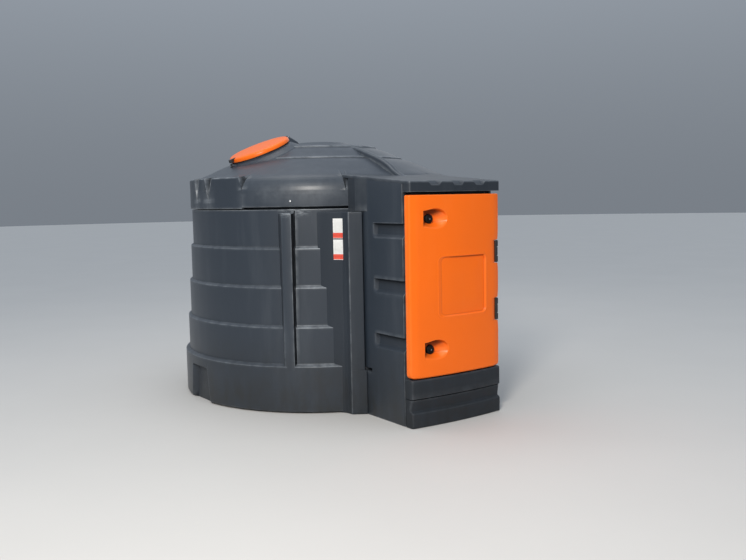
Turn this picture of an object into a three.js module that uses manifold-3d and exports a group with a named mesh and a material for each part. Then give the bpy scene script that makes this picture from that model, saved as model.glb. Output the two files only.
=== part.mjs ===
import * as THREE from 'three';
import * as BufferGeometryUtils from 'three/addons/utils/BufferGeometryUtils.js';
import Module from 'manifold-3d';

// Double-walled round fuel tank with a front cabinet, in millimetres.
// Z is up, the ground is z = 0 and the tank's axis is x = y = 0.
// The cabinet door faces -Y, and its hinges are on the +X side.

const wasm = await Module();
wasm.setup();

// Driving dimensions of the lower shell, which holds the inner tank
const BASE_RADIUS = 1238;
const BANDS = [
  { radius: BASE_RADIUS, top: 370 },
  { radius: 1205, top: 665 },
  { radius: 1182, top: 968 },
  { radius: 1161, top: 1266 },
  { radius: 1141, top: 1552 },
];
const LEDGE_DROP = 16;
const WALL_FOOT_THICKNESS = 55;
const WALL_INNER_HEAD = 1100;
const LIP_RADIUS = 1124;
const LIP_TOP = 1592;
const FLOOR_THICKNESS = 14;

// Ribs, front panels and foot recesses of the lower shell
const RIB_SLOPE_START = 40.6;
const RIB_START = 43.2;
const RIB_END = 46.9;
const RIB_RADIUS = 1237;
const RIB_FOOT = 362;
const PANEL_TOP = 1535;
const RECESS_BACK = 1192;
const RECESS_HEIGHT = 285;
const RECESS_FOOT_HALF = 126;
const RECESS_HEAD_HALF = 82;
const RECESS_FLARE = 1.25;

// Inner tank
const TANK_RADIUS = 1070;
const TANK_WALL = 20;
const TANK_TOP = 1600;

// Upper shell
const SKIRT_BOTTOM = 1590;
const SKIRT_RADIUS = 1152;
const CAP_RADIUS = 1000;
const BLOCK_TOP = 1817;
const BLOCK_INNER_RADIUS = 1073;
const BLOCK_ANGLE = 25.2;
const NOTCH_DEPTH = 54;
const NOTCHES = [
  { angle: 5.4, halfWidth: 68, bottom: 1634 },
  { angle: BLOCK_ANGLE, halfWidth: 38, bottom: 1724 },
];

// Manhole on the left of the dome, tilted with the dome's slope
const MANHOLE_CENTRE = [-616, 0, 2056];
const MANHOLE_TILT = 22.5;
const NECK_RADIUS = 238;
const NECK_WALL = 22;
const NECK_FOOT = -110;
const COLLAR_WIDTH = 62;
const LID_RADIUS = 265;
const LID_LIP = -12;
const LID_HINGE = { x: 286, z: 0 };
const LID_BARREL_RADIUS = 11;
const LID_PIN_RADIUS = 5;
const LID_LEAF_HALF = 20;

// Cabinet
const CABINET_HALF_WIDTH = 422;
const CABINET_WALL = 40;
const FRONT_CORNER_Y = -1810;
const FRONT_BULGE = 26;
const FRAME_BACK_Y = -1770;
const WALL_FRONT_Y = -1746;
const PLINTH_TOP = 345;
const FASCIA_BOTTOM = 1664;
const ROOF_SLOPE = 0.0887;
const ROOF_FRONT_Z = 1743;
const ROOF_THICKNESS = 24;
const SIDE_POCKETS = [532, 938, 1343];
const SIDE_POCKET_HEIGHT = 108;
const SIDE_POCKET_BACK_Y = -1366;
const SIDE_POCKET_DEPTH = 24;
const SCALLOPS = [-208, 0, 208];

// Door, with its hinge line near the cabinet's right front corner
const DOOR_BACK_Y = -1752;
const DOOR_BOTTOM = 352;
const DOOR_TOP = 1656;
const DOOR_HALF_WIDTH = 424;
const DOOR_EDGE_RADIUS = 28;
const DOOR_CORNER_RADIUS = 42;
const DOOR_PANEL = { x0: -181, x1: 267, z0: 800, z1: 1203, depth: 9 };
const HINGE_X = 408;
const HINGE_Y = -1790;
const HINGE_HEIGHTS = [785, 1219];
const HINGE_HALF_LENGTH = 80;
const HINGE_NOTCH_X = 386;
const HINGE_NOTCH_MARGIN = 6;
const LATCH_X = -235;
const LATCH_HEIGHTS = [546, 1479];
const TONGUE_REACH = 118;
const SCOOP_HALF_HEIGHT = 78;
const SCOOP_FLOOR_Y = -1772;

// Clearances
const GAP = 0.3;
const ROUND_STEPS = 72;
const MANHOLE_STEPS = 40;
const FAR = 3000;

const colours = {
  shell: { color: 0x454d57, roughness: 0.55, metalness: 0 },
  orange: { color: 0xf5792c, roughness: 0.45, metalness: 0 },
  black: { color: 0x15161a, roughness: 0.5, metalness: 0 },
  steel: { color: 0x6d7176, roughness: 0.4, metalness: 0.8 },
  inner: { color: 0x23272c, roughness: 0.7, metalness: 0 },
};

const radians = THREE.MathUtils.degToRad;

// Turns a three.js geometry into a closed solid with its faces pointing out
function solidOf(geometry) {
  const bare = new THREE.BufferGeometry();
  bare.setAttribute('position', geometry.getAttribute('position'));
  bare.setIndex(geometry.getIndex());
  const merged = BufferGeometryUtils.mergeVertices(bare, 1e-3);
  const position = merged.getAttribute('position');
  const index = merged.getIndex().array;
  const triangles = [];
  let volume = 0;
  for (let i = 0; i < index.length; i += 3) {
    const corner = [index[i], index[i + 1], index[i + 2]];
    if (corner[0] === corner[1] || corner[1] === corner[2] || corner[2] === corner[0]) {
      continue;
    }
    const [a, b, c] = corner.map((k) => new THREE.Vector3().fromBufferAttribute(position, k));
    volume += a.dot(b.clone().cross(c));
    triangles.push(...corner);
  }
  if (volume < 0) {
    triangles.reverse();
  }
  return new wasm.Manifold(new wasm.Mesh({
    numProp: 3,
    vertProperties: Float32Array.from(position.array),
    triVerts: Uint32Array.from(triangles),
  }));
}

// Turns a solid back into a three.js geometry
function geometryOf(solid) {
  const mesh = solid.getMesh();
  const geometry = new THREE.BufferGeometry();
  geometry.setAttribute('position', new THREE.BufferAttribute(Float32Array.from(mesh.vertProperties), 3));
  geometry.setIndex(new THREE.BufferAttribute(Uint32Array.from(mesh.triVerts), 1));
  geometry.computeVertexNormals();
  return geometry;
}

// A profile of [radius, height] points turned round the Z axis
function turned(profile, steps = ROUND_STEPS) {
  const points = profile.map(([radius, height]) => new THREE.Vector2(radius, height));
  const onAxis = profile[0][0] === 0 && profile[profile.length - 1][0] === 0;
  if (!onAxis) {
    points.push(points[0].clone());
  }
  return solidOf(new THREE.LatheGeometry(points, steps).rotateX(Math.PI / 2));
}

function disc(radius, z0, z1, steps = ROUND_STEPS) {
  return turned([[0, z0], [radius, z0], [radius, z1], [0, z1]], steps);
}

function box(x0, x1, y0, y1, z0, z1) {
  const geometry = new THREE.BoxGeometry(x1 - x0, y1 - y0, z1 - z0);
  geometry.translate((x0 + x1) / 2, (y0 + y1) / 2, (z0 + z1) / 2);
  return solidOf(geometry);
}

function extruded(shape, depth) {
  return new THREE.ExtrudeGeometry(shape, { depth, bevelEnabled: false, curveSegments: 10 });
}

// A plan outline of [x, y] points raised from z0 to z1
function raised(outline, z0, z1) {
  const shape = new THREE.Shape(outline.map(([x, y]) => new THREE.Vector2(x, y)));
  return solidOf(extruded(shape, z1 - z0).translate(0, 0, z0));
}

// Four corners at z0 joined to four corners at z1, both counter-clockwise seen from above
function tapered(low, high, z0, z1) {
  const corners = [...low.map(([x, y]) => [x, y, z0]), ...high.map(([x, y]) => [x, y, z1])];
  const index = [0, 2, 1, 0, 3, 2, 4, 5, 6, 4, 6, 7];
  for (let i = 0; i < 4; i += 1) {
    const j = (i + 1) % 4;
    index.push(i, j, 4 + j, i, 4 + j, 4 + i);
  }
  const geometry = new THREE.BufferGeometry();
  geometry.setAttribute('position', new THREE.Float32BufferAttribute(corners.flat(), 3));
  geometry.setIndex(index);
  return solidOf(geometry);
}

// A side outline of [y, z] points spread from x0 to x1
function spread(outline, x0, x1) {
  const shape = new THREE.Shape(outline.map(([y, z]) => new THREE.Vector2(y, z)));
  const geometry = extruded(shape, x1 - x0);
  geometry.rotateX(Math.PI / 2).rotateZ(Math.PI / 2);
  return solidOf(geometry.translate(x0, 0, 0));
}

// A round bar along Y, or along Z
function barAlongY(x, z, radius, y0, y1, steps = 16) {
  const geometry = new THREE.CylinderGeometry(radius, radius, y1 - y0, steps);
  return solidOf(geometry.translate(x, (y0 + y1) / 2, z));
}

function barAlongZ(x, y, radius, z0, z1, steps = 16) {
  const geometry = new THREE.CylinderGeometry(radius, radius, z1 - z0, steps).rotateX(Math.PI / 2);
  return solidOf(geometry.translate(x, y, (z0 + z1) / 2));
}

function mirrorOutline(outline) {
  return outline.map(([x, y]) => [-x, y]).reverse();
}

// A quarter of the plan, with its middle towards the given direction
function quarter(middle) {
  const inset = GAP / 2 / Math.sin(radians(45));
  const turn = (x, y) => {
    const angle = radians(middle);
    return [
      x * Math.cos(angle) - y * Math.sin(angle),
      x * Math.sin(angle) + y * Math.cos(angle),
    ];
  };
  return raised([turn(inset, 0), turn(FAR, inset - FAR), turn(FAR, FAR - inset)], -100, FAR);
}

const QUARTERS = { right: 0, rear: 90, left: 180, front: 270 };

const tank = new THREE.Group();
tank.name = 'bunded_fuel_tank';

function add(name, solid, finish, parent = tank) {
  const material = new THREE.MeshStandardMaterial(finish);
  const mesh = new THREE.Mesh(geometryOf(solid), material);
  mesh.name = name;
  parent.add(mesh);
}

// Lower shell outline: five bands, each set in from the one below by a sloping ledge
function lowerOutline(grow) {
  const outline = [[BASE_RADIUS + grow, 0]];
  for (let i = 0; i + 1 < BANDS.length; i += 1) {
    const { radius, top } = BANDS[i];
    const next = BANDS[i + 1].radius;
    outline.push([radius + grow, top - LEDGE_DROP]);
    outline.push([radius - 5 + grow, top - 4]);
    outline.push([next + 3 + grow, top + 5]);
    outline.push([next + grow, top + LEDGE_DROP]);
  }
  const head = BANDS[BANDS.length - 1];
  outline.push([head.radius + grow, head.top]);
  return outline;
}

function lowerBody(grow) {
  const lip = [[LIP_RADIUS + grow, BANDS[4].top + 4], [LIP_RADIUS + grow, LIP_TOP + grow]];
  return turned([[0, -1], [BASE_RADIUS + grow, -1], ...lowerOutline(grow), ...lip, [0, LIP_TOP + grow]]);
}

// Shallow recess low on one side: its back is flat and its ends flare outwards and towards the foot
function footRecess(side) {
  const outer = BASE_RADIUS + 100;
  const plan = (half) => {
    const wide = half + (outer - RECESS_BACK) * RECESS_FLARE;
    const corners = [[RECESS_BACK, -half], [outer, -wide], [outer, wide], [RECESS_BACK, half]];
    return side > 0 ? corners : mirrorOutline(corners);
  };
  const belowGround = -20;
  return tapered(plan(RECESS_FOOT_HALF), plan(RECESS_HEAD_HALF), belowGround, RECESS_HEIGHT);
}

function addLowerShell() {
  const wall = turned([
    ...lowerOutline(0),
    [LIP_RADIUS, BANDS[BANDS.length - 1].top + 4],
    [LIP_RADIUS, LIP_TOP],
    [WALL_INNER_HEAD, LIP_TOP],
    [BASE_RADIUS - WALL_FOOT_THICKNESS, RECESS_HEIGHT + 45],
    [BASE_RADIUS - WALL_FOOT_THICKNESS, 0],
  ]);
  const recessed = wall.subtract(footRecess(-1)).subtract(footRecess(1));
  for (const [side, middle] of Object.entries(QUARTERS)) {
    add(`${side}_wall`, recessed.intersect(quarter(middle)), colours.shell);
  }
  add('bund_floor', disc(BASE_RADIUS - WALL_FOOT_THICKNESS - GAP, 0, FLOOR_THICKNESS), colours.shell);
}

// Upright rib on each side, level with the base band: a soft slope to the rear, a steep face to the front
function addRibs() {
  const body = lowerBody(GAP);
  const polar = (angle, radius) => [
    -radius * Math.cos(radians(angle)),
    -radius * Math.sin(radians(angle)),
  ];
  const rootRadius = LIP_RADIUS - 4;
  const outline = [
    polar(RIB_SLOPE_START, rootRadius),
    polar(RIB_SLOPE_START, BANDS[4].radius - 6),
    polar(RIB_START, RIB_RADIUS - 5),
    polar(RIB_START + 0.8, RIB_RADIUS),
    polar(RIB_END - 0.35, RIB_RADIUS),
    polar(RIB_END, RIB_RADIUS - 5),
    polar(RIB_END, rootRadius),
  ];
  const outlines = { left: outline, right: mirrorOutline(outline) };
  for (const [name, plan] of Object.entries(outlines)) {
    add(`${name}_rib`, raised(plan, RIB_FOOT, PANEL_TOP - 3).subtract(body), colours.shell);
  }
}

// Smooth panel and projecting flange between the ribs and the cabinet
function addFrontPanels() {
  const body = lowerBody(GAP);
  const panel = [
    [-647, -953], [-599, -1034], [-570, -1084], [-532, -1124], [-528, -1156],
    [-534, -1188], [-527, -1199], [-434, -1262], [-434, -1080], [-560, -960],
  ];
  const foot = [[-434.5, -1262], [-422.3, -1270], [-422.3, -1150], [-434.5, -1150]];
  for (const name of ['left', 'right']) {
    const plan = name === 'left' ? panel : mirrorOutline(panel);
    const toe = name === 'left' ? foot : mirrorOutline(foot);
    const solid = raised(plan, 0, PANEL_TOP)
      .add(raised(toe, 0, PLINTH_TOP - 5))
      .subtract(body);
    add(`${name}_front_panel`, solid, colours.shell);
  }
}

function addInnerTank() {
  const bottom = FLOOR_THICKNESS + GAP;
  add('inner_tank_floor', disc(TANK_RADIUS, bottom, bottom + TANK_WALL), colours.inner);
  const wall = turned([
    [TANK_RADIUS, bottom + TANK_WALL + GAP],
    [TANK_RADIUS, TANK_TOP],
    [TANK_RADIUS - TANK_WALL, TANK_TOP],
    [TANK_RADIUS - TANK_WALL, bottom + TANK_WALL + GAP],
  ]);
  for (const [side, middle] of Object.entries(QUARTERS)) {
    add(`inner_tank_${side}`, wall.intersect(quarter(middle)), colours.inner);
  }
}

// Dome outline from the skirt's foot to the crown
const DOME_OUTLINE = [
  [1152, 1590], [1154, 1600], [1153, 1700], [1147, 1742], [1130, 1778], [1100, 1806],
  [1060, 1826], [1000, 1849], [899, 1897], [782, 1948], [722, 1960], [703, 1972],
  [603, 2020], [512, 2056], [490, 2062], [470, 2078], [414, 2088], [290, 2096],
  [250, 2108], [200, 2122], [0, 2130],
];

function domeInside() {
  const inner = [[1128, SKIRT_BOTTOM], [1128, 1700], [1108, 1765], [1036, 1810]];
  const crown = [[872, 1884], [700, 1942], [608, 1988], [490, 2034], [380, 2062], [200, 2086], [0, 2105]];
  return turned([[0, SKIRT_BOTTOM - 50], [1128, SKIRT_BOTTOM - 50], ...inner, ...crown]);
}

function domeOutside(grow) {
  const grown = DOME_OUTLINE.map(([radius, height]) => [radius === 0 ? 0 : radius + grow, height + grow]);
  grown[0][1] -= grow;
  return turned([[0, SKIRT_BOTTOM], ...grown]);
}

// Square-shouldered blocks with V notches over each side of the skirt
function shoulderBlocks(side) {
  const x = side * FAR * Math.cos(radians(BLOCK_ANGLE));
  const y = side * FAR * Math.sin(radians(BLOCK_ANGLE));
  const wedge = raised([[0, 0], [x, y], [x, -y]], SKIRT_BOTTOM, BLOCK_TOP + 100);
  const ring = turned([
    [BLOCK_INNER_RADIUS, SKIRT_BOTTOM + 4], [1150, SKIRT_BOTTOM + 4], [1153, SKIRT_BOTTOM + 10],
    [1153, BLOCK_TOP - 10], [1143, BLOCK_TOP], [BLOCK_INNER_RADIUS, BLOCK_TOP],
  ]);
  return ring.intersect(wedge);
}

function notch(angle, halfWidth, bottom) {
  const shape = new THREE.Shape([
    new THREE.Vector2(-halfWidth, BLOCK_TOP + 40),
    new THREE.Vector2(0, bottom),
    new THREE.Vector2(halfWidth, BLOCK_TOP + 40),
  ]);
  const geometry = extruded(shape, 200).rotateX(Math.PI / 2).rotateZ(Math.PI / 2);
  geometry.translate(SKIRT_RADIUS - NOTCH_DEPTH, 0, 0).rotateZ(radians(angle));
  return solidOf(geometry);
}

function manholeMatrix() {
  const matrix = new THREE.Matrix4().makeRotationY(-radians(MANHOLE_TILT));
  return matrix.setPosition(...MANHOLE_CENTRE);
}

function neckHole(radius) {
  const geometry = new THREE.CylinderGeometry(radius, radius, 500, MANHOLE_STEPS).rotateX(Math.PI / 2);
  return solidOf(geometry.applyMatrix4(manholeMatrix()));
}

function addUpperShell() {
  let shell = domeOutside(0).subtract(domeInside()).add(shoulderBlocks(-1)).add(shoulderBlocks(1));
  for (const { angle, halfWidth, bottom } of NOTCHES) {
    for (const turn of [angle, -angle, 180 - angle, 180 + angle]) {
      shell = shell.subtract(notch(turn, halfWidth, bottom));
    }
  }
  const rim = shell.subtract(disc(CAP_RADIUS + GAP / 2, 0, FAR));
  for (const [side, middle] of Object.entries(QUARTERS)) {
    add(`upper_shell_${side}`, rim.intersect(quarter(middle)), colours.shell);
  }
  const cap = shell.intersect(disc(CAP_RADIUS - GAP / 2, 0, FAR)).subtract(neckHole(NECK_RADIUS + GAP));
  add('dome', cap, colours.shell);
}

// Manhole pieces are made round their own Z axis, with the lid's underside near z = 0
function lidOutline(grow) {
  return [
    [0, 36 + grow], [140, 34 + grow], [218, 28 + grow], [252 + grow, 19 + grow],
    [LID_RADIUS + grow, 6], [LID_RADIUS + grow, LID_LIP - grow],
  ];
}

function addManhole() {
  const group = new THREE.Group();
  group.position.set(...MANHOLE_CENTRE);
  group.rotation.y = -radians(MANHOLE_TILT);
  tank.add(group);

  const inverse = manholeMatrix().invert();
  const domeLocal = solidOf(geometryOf(domeOutside(GAP)).applyMatrix4(inverse));
  const neck = turned([
    [NECK_RADIUS, NECK_FOOT], [NECK_RADIUS, 5.7], [NECK_RADIUS - NECK_WALL, 5.7],
    [NECK_RADIUS - NECK_WALL, NECK_FOOT],
  ], MANHOLE_STEPS);
  add('manhole_neck', neck, colours.shell, group);
  const collarOutline = (grow) => [
    [NECK_RADIUS + COLLAR_WIDTH + grow, NECK_FOOT], [NECK_RADIUS + COLLAR_WIDTH + grow, -44 + grow],
    [NECK_RADIUS + 20 + grow, -28 + grow],
  ];
  const collar = turned([
    [NECK_RADIUS + GAP, NECK_FOOT], ...collarOutline(0), [NECK_RADIUS + GAP, -26],
  ], MANHOLE_STEPS).subtract(domeLocal);
  add('manhole_collar', collar, colours.shell, group);
  const collarBody = turned([[0, NECK_FOOT], ...collarOutline(GAP), [0, -28 + GAP]], MANHOLE_STEPS);

  const lid = turned([
    ...lidOutline(0), [LID_RADIUS - 12, LID_LIP], [LID_RADIUS - 12, 6], [0, 6],
  ], MANHOLE_STEPS);
  add('manhole_lid', lid, colours.orange, group);

  const { x: hingeX, z: hingeZ } = LID_HINGE;
  const lidBody = turned([...lidOutline(GAP), [0, LID_LIP - GAP]], MANHOLE_STEPS);
  const leaf = box(LID_RADIUS - 6, hingeX, -LID_LEAF_HALF, LID_LEAF_HALF, -8, 12)
    .add(barAlongY(hingeX, hingeZ, LID_BARREL_RADIUS, -LID_LEAF_HALF, LID_LEAF_HALF))
    .subtract(lidBody)
    .subtract(barAlongY(hingeX, hingeZ, LID_PIN_RADIUS + 1, -30, 30));
  add('lid_hinge_leaf', leaf, colours.black, group);

  const inner = LID_LEAF_HALF + 5;
  const outer = inner + 18;
  let bracket = box(hingeX - 10, hingeX + 52, -outer, outer, NECK_FOOT - 10, -20)
    .add(barAlongY(hingeX, hingeZ, LID_PIN_RADIUS, -outer, outer));
  for (const y of [-outer, inner]) {
    bracket = bracket
      .add(box(hingeX - 10, hingeX + 14, y, y + outer - inner, -30, 10))
      .add(box(hingeX + 12, hingeX + 52, y, y + outer - inner, -30, -4));
  }
  add('lid_hinge_bracket', bracket.subtract(domeLocal).subtract(collarBody), colours.shell, group);

  const haspEnd = -LID_RADIUS - 32;
  const hasp = box(haspEnd, 48 - LID_RADIUS, -16, 16, -2, 24).subtract(lidBody);
  add('lid_hasp', hasp, colours.black, group);
  const staple = box(haspEnd, haspEnd + 8, -9, 9, -140, -8)
    .add(box(haspEnd - 8, haspEnd + 20, -16, 16, -140, -34))
    .subtract(domeLocal)
    .subtract(collarBody);
  add('hasp_staple', staple, colours.black, group);
}

// Ridge down the middle of the dome's front, from the crown to the cabinet roof, as [y, z] points
const RIDGE_HALF_WIDTH = 28;
const RIDGE_TOP = [
  [-500, 2066], [-553, 2057], [-656, 2031], [-775, 1994], [-873, 1963], [-972, 1924],
  [-1033, 1892], [-1084, 1857], [-1130, 1832], [-1186, 1808],
];

function addRidge() {
  const foot = SKIRT_BOTTOM + 60;
  const side = [[RIDGE_TOP[0][0], foot], ...RIDGE_TOP, [RIDGE_TOP[RIDGE_TOP.length - 1][0], foot]];
  const underRoof = spread([
    [-1900, foot - 10], [-1000, foot - 10], [-1000, roofZ(-1000) + GAP], [-1900, roofZ(-1900) + GAP],
  ], -500, 500);
  const narrow = side.map(([y, z]) => [y, z === foot ? foot : z - 7]);
  const ridge = spread(narrow, -RIDGE_HALF_WIDTH, RIDGE_HALF_WIDTH)
    .add(spread(side, 8 - RIDGE_HALF_WIDTH, RIDGE_HALF_WIDTH - 8))
    .subtract(domeOutside(GAP))
    .subtract(underRoof);
  add('front_ridge', ridge, colours.shell);
}

// Front face of the plinth, door and fascia: a shallow arc between the corners
function frontY(x, setBack = 0) {
  const half = CABINET_HALF_WIDTH;
  return FRONT_CORNER_Y - FRONT_BULGE * (1 - (x / half) ** 2) + setBack;
}

function frontStrip(halfWidth, backY, z0, z1, setBack) {
  const steps = 12;
  const edge = [];
  for (let i = 0; i <= steps; i += 1) {
    const x = -halfWidth + (2 * halfWidth * i) / steps;
    edge.push([x, frontY(x, setBack)]);
  }
  return raised([...edge, [halfWidth, backY], [-halfWidth, backY]], z0, z1);
}

function roofZ(y) {
  return ROOF_FRONT_Z + ROOF_SLOPE * (y - (FRONT_CORNER_Y - FRONT_BULGE));
}

function addCabinet() {
  const lower = lowerBody(GAP);
  const upper = domeOutside(GAP);
  const inside = CABINET_HALF_WIDTH - CABINET_WALL;
  const under = (y) => roofZ(y) - ROOF_THICKNESS - GAP;

  for (const [name, side] of [['left', -1], ['right', 1]]) {
    const [x0, x1] = [side * inside, side * CABINET_HALF_WIDTH].sort((a, b) => a - b);
    let wall = spread([
      [-1040, 0], [FRAME_BACK_Y + GAP, 0], [FRAME_BACK_Y + GAP, PLINTH_TOP],
      [WALL_FRONT_Y, PLINTH_TOP], [WALL_FRONT_Y, FASCIA_BOTTOM],
      [FRAME_BACK_Y + GAP, FASCIA_BOTTOM], [FRAME_BACK_Y + GAP, under(FRAME_BACK_Y)],
      [-1040, under(-1040)],
    ], x0, x1);
    wall = wall.subtract(lower).subtract(upper);
    for (const bottom of SIDE_POCKETS) {
      const face = side * (CABINET_HALF_WIDTH - SIDE_POCKET_DEPTH);
      const [a, b] = [face, side * FAR].sort((m, n) => m - n);
      wall = wall.subtract(box(a, b, -FAR, SIDE_POCKET_BACK_Y, bottom, bottom + SIDE_POCKET_HEIGHT));
    }
    add(`cabinet_${name}_side`, wall, colours.shell);
  }

  const floor = box(-inside + GAP, inside - GAP, FRAME_BACK_Y + GAP, -1000, PLINTH_TOP - 24, PLINTH_TOP);
  add('cabinet_floor', floor.subtract(lower), colours.shell);

  const half = CABINET_HALF_WIDTH + 2;
  const plinth = frontStrip(half, FRAME_BACK_Y, 210, PLINTH_TOP, 0)
    .add(frontStrip(half, FRAME_BACK_Y, 110, 211, 12))
    .add(frontStrip(half, FRAME_BACK_Y, 0, 114, -3));
  add('plinth_front', plinth, colours.shell);

  const roofPlan = [
    [-CABINET_HALF_WIDTH, -1297], [-450, -1184], [-441, -1066], [-441, -1000], [441, -1000],
    [441, -1066], [450, -1184], [CABINET_HALF_WIDTH, -1297],
    [CABINET_HALF_WIDTH, FRAME_BACK_Y + GAP], [-CABINET_HALF_WIDTH, FRAME_BACK_Y + GAP],
  ];
  const slab = spread([
    [-1900, roofZ(-1900) - ROOF_THICKNESS], [-1000, roofZ(-1000) - ROOF_THICKNESS],
    [-1000, roofZ(-1000)], [-1900, roofZ(-1900)],
  ], -600, 600);
  add('cabinet_roof', slab.intersect(raised(roofPlan, 1500, 1900)).subtract(upper), colours.shell);

  const underTop = [[-1900, 1600], [-1700, 1600], [-1700, roofZ(-1700)], [-1900, roofZ(-1900)]];
  let fascia = frontStrip(half, FRAME_BACK_Y, FASCIA_BOTTOM, 1900, 0).intersect(spread(underTop, -600, 600));
  for (const x of SCALLOPS) {
    fascia = fascia.subtract(box(x - 50, x + 50, -1900, frontY(x) + 22, ROOF_FRONT_Z - 12, 1900));
  }
  add('fascia', fascia, colours.shell);

  const cheek = [[-422.3, -1296], [-450, -1184], [-437, -1064], [-422.3, -1064]];
  for (const name of ['left', 'right']) {
    const plan = name === 'left' ? cheek : mirrorOutline(cheek);
    const belowRoof = [[-1900, 1500], [-1000, 1500], [-1000, under(-1000)], [-1900, under(-1900)]];
    const solid = raised(plan, PANEL_TOP + GAP, 1900)
      .intersect(spread(belowRoof, -600, 600))
      .subtract(upper)
      .subtract(lower);
    add(`${name}_roof_cheek`, solid, colours.shell);
  }

  const frameOuter = box(-inside + GAP, inside - GAP, -1744, -1732, PLINTH_TOP + GAP, 1690);
  const frameInner = box(-inside + 52, inside - 52, -1800, -1700, PLINTH_TOP + 45, 1630);
  add('door_frame', frameOuter.subtract(frameInner), colours.shell);
}

function roundedRectangle(x0, x1, z0, z1, radius) {
  const shape = new THREE.Shape();
  shape.moveTo(x0 + radius, z0);
  shape.lineTo(x1 - radius, z0);
  shape.absarc(x1 - radius, z0 + radius, radius, -Math.PI / 2, 0);
  shape.lineTo(x1, z1 - radius);
  shape.absarc(x1 - radius, z1 - radius, radius, 0, Math.PI / 2);
  shape.lineTo(x0 + radius, z1);
  shape.absarc(x0 + radius, z1 - radius, radius, Math.PI / 2, Math.PI);
  shape.lineTo(x0, z0 + radius);
  shape.absarc(x0 + radius, z0 + radius, radius, Math.PI, Math.PI * 1.5);
  return shape;
}

// A front outline pushed through in Y from y0 to y1
function through(shape, y0, y1) {
  const depth = y1 - y0;
  const geometry = new THREE.ExtrudeGeometry(shape, { depth, bevelEnabled: false, curveSegments: 4 });
  return solidOf(geometry.rotateX(Math.PI / 2).translate(0, y1, 0));
}

function doorPlan() {
  const half = DOOR_HALF_WIDTH;
  const radius = DOOR_EDGE_RADIUS;
  const plan = [];
  const steps = 12;
  const flat = half - radius;
  const cornerY = frontY(flat) + radius;
  for (let i = 0; i <= 3; i += 1) {
    const angle = Math.PI + (Math.PI / 2) * (i / 4);
    plan.push([-flat + radius * Math.cos(angle), cornerY + radius * Math.sin(angle)]);
  }
  for (let i = 0; i <= steps; i += 1) {
    const x = -flat + (2 * flat * i) / steps;
    plan.push([x, frontY(x)]);
  }
  for (let i = 1; i <= 4; i += 1) {
    const angle = -Math.PI / 2 + (Math.PI / 2) * (i / 4);
    plan.push([flat + radius * Math.cos(angle), cornerY + radius * Math.sin(angle)]);
  }
  plan.push([half, DOOR_BACK_Y]);
  plan.push([-half, DOOR_BACK_Y]);
  return plan;
}

function addDoor() {
  const half = DOOR_HALF_WIDTH;
  const outline = roundedRectangle(-half, half, DOOR_BOTTOM, DOOR_TOP, DOOR_CORNER_RADIUS);
  let door = raised(doorPlan(), DOOR_BOTTOM, DOOR_TOP).intersect(through(outline, -1900, -1700));
  const { x0, x1, z0, z1, depth } = DOOR_PANEL;
  const recess = frontStrip(600, -1950, 0, 2000, depth)
    .intersect(through(roundedRectangle(x0, x1, z0, z1, 30), -1950, -1780));
  door = door.subtract(recess);
  for (const z of LATCH_HEIGHTS) {
    const scoop = raised([
      [-312, SCOOP_FLOOR_Y], [-312, -1900], [-104, -1900], [-104, -1839], [-140, -1818],
      [-188, SCOOP_FLOOR_Y],
    ], z - SCOOP_HALF_HEIGHT, z + SCOOP_HALF_HEIGHT);
    door = door.subtract(scoop).subtract(barAlongY(LATCH_X, z, 9, -1800, -1700));
  }
  for (const z of HINGE_HEIGHTS) {
    const reach = HINGE_HALF_LENGTH + HINGE_NOTCH_MARGIN;
    door = door.subtract(box(HINGE_NOTCH_X, 500, -1900, -1700, z - reach, z + reach));
  }
  add('door_panel', door, colours.orange);

  const names = ['lower', 'upper'];
  HINGE_HEIGHTS.forEach((z, i) => {
    const low = z - HINGE_HALF_LENGTH;
    const high = z + HINGE_HALF_LENGTH;
    const leaf = box(HINGE_NOTCH_X + GAP, HINGE_NOTCH_X + 8, -1806, -1762, low, high)
      .add(box(HINGE_NOTCH_X + 6, HINGE_X, HINGE_Y - 5, HINGE_Y + 5, low, z - 36))
      .add(box(HINGE_NOTCH_X + 6, HINGE_X, HINGE_Y - 5, HINGE_Y + 5, z + 36, high))
      .add(barAlongZ(HINGE_X, HINGE_Y, 13, low, z - 36))
      .add(barAlongZ(HINGE_X, HINGE_Y, 13, z + 36, high))
      .subtract(barAlongZ(HINGE_X, HINGE_Y, 7, low - 10, high + 10));
    add(`${names[i]}_hinge_leaf`, leaf, colours.black);
    const bracket = barAlongZ(HINGE_X, HINGE_Y, 6, low - 3, high + 3)
      .add(barAlongZ(HINGE_X, HINGE_Y, 11, z - 30, z + 30))
      .add(box(HINGE_X - 6, HINGE_X + 6, HINGE_Y, WALL_FRONT_Y - GAP, z - 30, z + 30));
    add(`${names[i]}_hinge_bracket`, bracket, colours.black);
  });

  LATCH_HEIGHTS.forEach((z, i) => {
    const plate = box(LATCH_X - 36, LATCH_X + 36, SCOOP_FLOOR_Y - 8, SCOOP_FLOOR_Y - GAP, z - 38, z + 38)
      .subtract(barAlongY(LATCH_X, z, 9, -1800, -1700));
    add(`${names[i]}_latch_plate`, plate, colours.black);
    const latch = barAlongY(LATCH_X, z, 17, SCOOP_FLOOR_Y - 24, SCOOP_FLOOR_Y - 9)
      .add(barAlongY(LATCH_X, z, 8, SCOOP_FLOOR_Y - 12, -1719))
      .add(box(LATCH_X - 13, LATCH_X + 13, -1727, -1719, z - TONGUE_REACH, z + 13));
    add(`${names[i]}_latch`, latch, colours.steel);
  });
}

addLowerShell();
addRibs();
addFrontPanels();
addInnerTank();
addUpperShell();
addManhole();
addRidge();
addCabinet();
addDoor();

export default tank;
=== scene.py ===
"""Looks for the bunded fuel tank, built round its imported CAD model.

Sizes are in millimetres here and become metres when a mesh is made. Z is up, the ground is z = 0,
the round tank's axis is x = y = 0 and the cabinet door faces -Y. Angles are in degrees.
"""

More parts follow.
